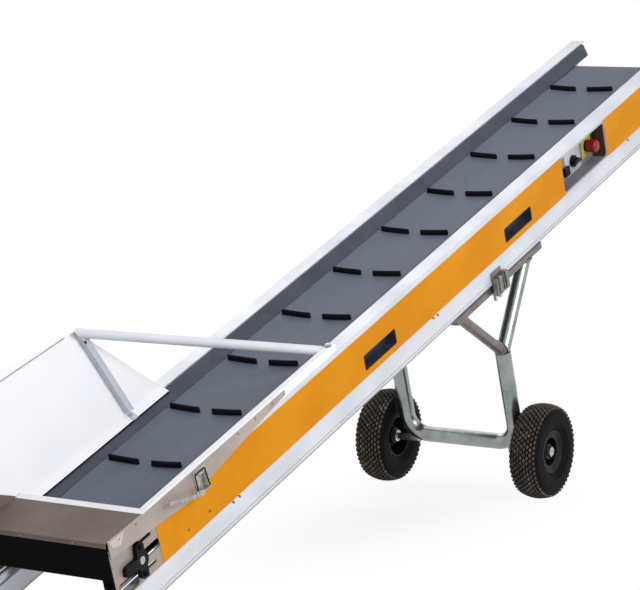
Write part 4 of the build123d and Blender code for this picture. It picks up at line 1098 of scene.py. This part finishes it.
# Painted highlight: the corner tab's paler sheet stands for light falling on the near plate's corner
CORNER_HIGHLIGHT_TAB = ((3, 53), (64, 51), (43, 26), (13, 33))
highlight_tab_place = on_side(-1, 0, NEAR_PLATE_FACE, 0)
tab = [[highlight_tab_place @ Vector((x, z, level)) for x, z in CORNER_HIGHLIGHT_TAB] for level in (0.0, 1.2)]
add_piece("corner_tab", shaped(loft, tab), "rubbed_aluminium_sheet")
POST_SCREW = ((0, -0.5), (4, -0.5), (4, 0.6), (3, 1.8), (0, 2.2))
screw_spot = (wall_place @ Vector((597, 214, 18)), wall_place.to_3x3() @ Vector((0, 0, 1)), (1, 0, 0))
add_turned("post_screw", "zinc_steel", [screw_spot], "black_cast_iron", (POST_SCREW, SMALL_STEPS))
SKIRT_SLANT, POST_PLACE, FOOT_DROP = math.radians(33), 612, 10
foot_place = leaning(
    SKIRT_SLANT, POST_PLACE, WALL_FOOT - FOOT_DROP, WALL_LEVEL - FOOT_DROP * math.tan(SKIRT_SLANT)
)
post_foot = shaped(plate, 21, 22, 2, 6, foot_place @ Matrix.Translation((0, 0, 0.2)))
add_piece("post_foot", post_foot, "brushed_aluminium_post")

# %% [markdown]
# ## Control recess
# The tray holds a pale blank plate behind the switch, and a red mushroom button on a collar. The button's
# solid has straight bands, so a rounder turned cap stands for it here.

# %% Control recess
PANEL_FACE = -146.5
STOP_PLACE, STOP_LEVEL = 2635.0, -57.0
SWITCH_PLACE, SWITCH_LEVEL = 2538.0, -67.0
BUTTON = (
    (0, 40.5), (8, 40.1), (14, 38.5), (17.6, 35.9), (19.4, 32.5), (20, 29), (19.8, 12), (18.8, 8),
    (15.4, 6.6), (15, 5), (15, 0), (0, 0),
)
COLLAR = ((15.2, 0), (17.4, 0), (17.4, 2.2), (16.4, 3.4), (15.2, 3.4))
stop_place = BELT @ Matrix.Translation((STOP_PLACE, PANEL_FACE - 3, STOP_LEVEL)) @ UPRIGHT
button, collar = shaped(lathe, BUTTON, 48), shaped(lathe, COLLAR, 40, closed=True)
add_piece(
    "mushroom_button", button, "red_button_plastic",
    replaces=("emergency_stop",), place=stop_place,
)
add_piece("button_collar", collar, "black_switch_plastic", place=stop_place)
panel_place = on_side(-1, SWITCH_PLACE + 3, -PANEL_FACE, SWITCH_LEVEL + 7)
panel = shaped(plate, 104, 88, 5, 1.4, panel_place, edge=0.4)
add_piece("panel_plate", panel, "pale_panel_plate")

# %% [markdown]
# ## Studio
# A pale floor that fades into a white backdrop, a large soft light from the near side and above, and a
# gentle fill. The far part of the floor turns plain white for the eye, as a paper roll does, and the near
# part keeps the shadow.


# %% Studio floor
def seen_rays(tree):
    """1 for rays that show the studio to the eye, straight or by a mirror or glass, and 0 for other rays."""
    rays = add_node(tree, "ShaderNodeLightPath").outputs
    seen = rays["Is Camera Ray"]
    for kind in ("Is Glossy Ray", "Is Transmission Ray"):
        seen = add_node(tree, "ShaderNodeMath", {0: seen, 1: rays[kind]}, operation="MAXIMUM")
    return seen


FLOOR_HALF = 30.0
WHITE_FROM, WHITE_TO = -1.0, 0.55   # distance from the middle over which the floor turns white
floor_mesh = bpy.data.meshes.new("floor")
floor_corners = [(x * FLOOR_HALF, y * FLOOR_HALF, 0) for x, y in ((-1, -1), (1, -1), (1, 1), (-1, 1))]
floor_mesh.from_pydata(floor_corners, [], [(0, 1, 2, 3)])
floor = new_object("floor", floor_mesh)
# Matt paper: it takes a soft shadow and shows no reflection
floor_material, tree, floor_shader = new_material("pale_floor")
set_inputs(tree, floor_shader, {"Base Color": srgb("FBFBFB"), "Roughness": 0.9})
floor_output = floor_shader.outputs["BSDF"].links[0].to_node
place = add_node(tree, "ShaderNodeTexCoord").outputs["Object"]
oval = add_node(tree, "ShaderNodeVectorMath", {0: place, 1: (0.5, 1.0, 0.0)}, operation="MULTIPLY")
far = add_node(tree, "ShaderNodeVectorMath", {0: oval}, operation="LENGTH").outputs["Value"]
fade = add_node(
    tree, "ShaderNodeMapRange", {"Value": far, "From Min": WHITE_FROM, "From Max": WHITE_TO},
    interpolation_type="SMOOTHSTEP",
)
share = add_node(tree, "ShaderNodeMath", {0: fade, 1: seen_rays(tree)}, operation="MULTIPLY")
white = add_node(tree, "ShaderNodeEmission", {"Color": (1, 1, 1, 1), "Strength": 1.0})
mix = add_node(tree, "ShaderNodeMixShader", {0: share, 1: floor_shader, 2: white})
set_inputs(tree, floor_output, {"Surface": mix})
floor.data.materials.append(floor_material)
print("floor", 2 * FLOOR_HALF, "m wide")

# %% Studio light
AMBIENT = 0.4
world = bpy.data.worlds.new("studio")
bpy.context.scene.world = world
world.use_nodes = True
sky = world.node_tree
sky.nodes.clear()
level = add_node(sky, "ShaderNodeMapRange", {"Value": seen_rays(sky), "To Min": AMBIENT, "To Max": 1.0})
backdrop = add_node(sky, "ShaderNodeBackground", {"Color": (1, 1, 1, 1), "Strength": level})
add_node(sky, "ShaderNodeOutputWorld", {"Surface": backdrop})
LAMPS = (
    # name, place, size, watts
    ("key", (-1.0, -6.0, 3.6), 4.0, 260),
    ("top", (0.0, 1.0, 6.5), 5.0, 90),
    ("back", (4.0, 4.5, 4.0), 4.0, 60),
)
centre = (CAD_BOX[0] + CAD_BOX[1]) / 2
for name, place, size, watts in LAMPS:
    light = bpy.data.lights.new(name, "AREA")
    light.size = size
    light.energy = watts
    lamp = new_object(name, light)
    lamp.location = place
    lamp.rotation_euler = (centre - Vector(place)).to_track_quat("-Z", "Y").to_euler()
print("lamps", len(LAMPS))

# %% [markdown]
# ## Camera
# The camera stands where the photographer stood: low, on the tail side, with a long lens.

# %% Camera
PHOTO_WIDTH, PHOTO_HEIGHT = 640, 590
FOCAL_PIXELS = 2669.6
PRINCIPAL = (302.25, 296.8)     # where the lens axis meets the picture, in pixels
CAMERA_PLACE = (-4085.4, -3696.8, 2811.0)   # in the belt's frame
CAMERA_LOOK = (0.84159, 0.52636, -0.12114)
CAMERA_REACH = 200

camera_data = bpy.data.cameras.new("camera")
camera_data.lens = FOCAL_PIXELS / PHOTO_WIDTH * camera_data.sensor_width
camera_data.shift_x = (PHOTO_WIDTH / 2 - PRINCIPAL[0]) / PHOTO_WIDTH
camera_data.shift_y = (PRINCIPAL[1] - PHOTO_HEIGHT / 2) / PHOTO_WIDTH
camera_data.clip_end = CAMERA_REACH
camera = new_object("camera", camera_data)
camera.location = BELT @ Vector(CAMERA_PLACE)
camera.rotation_euler = Vector(CAMERA_LOOK).to_track_quat("-Z", "Y").to_euler()
bpy.context.scene.camera = camera
bpy.context.scene.view_settings.view_transform = "Standard"
print("camera", [round(v, 3) for v in camera.location], "lens", round(camera_data.lens, 2))
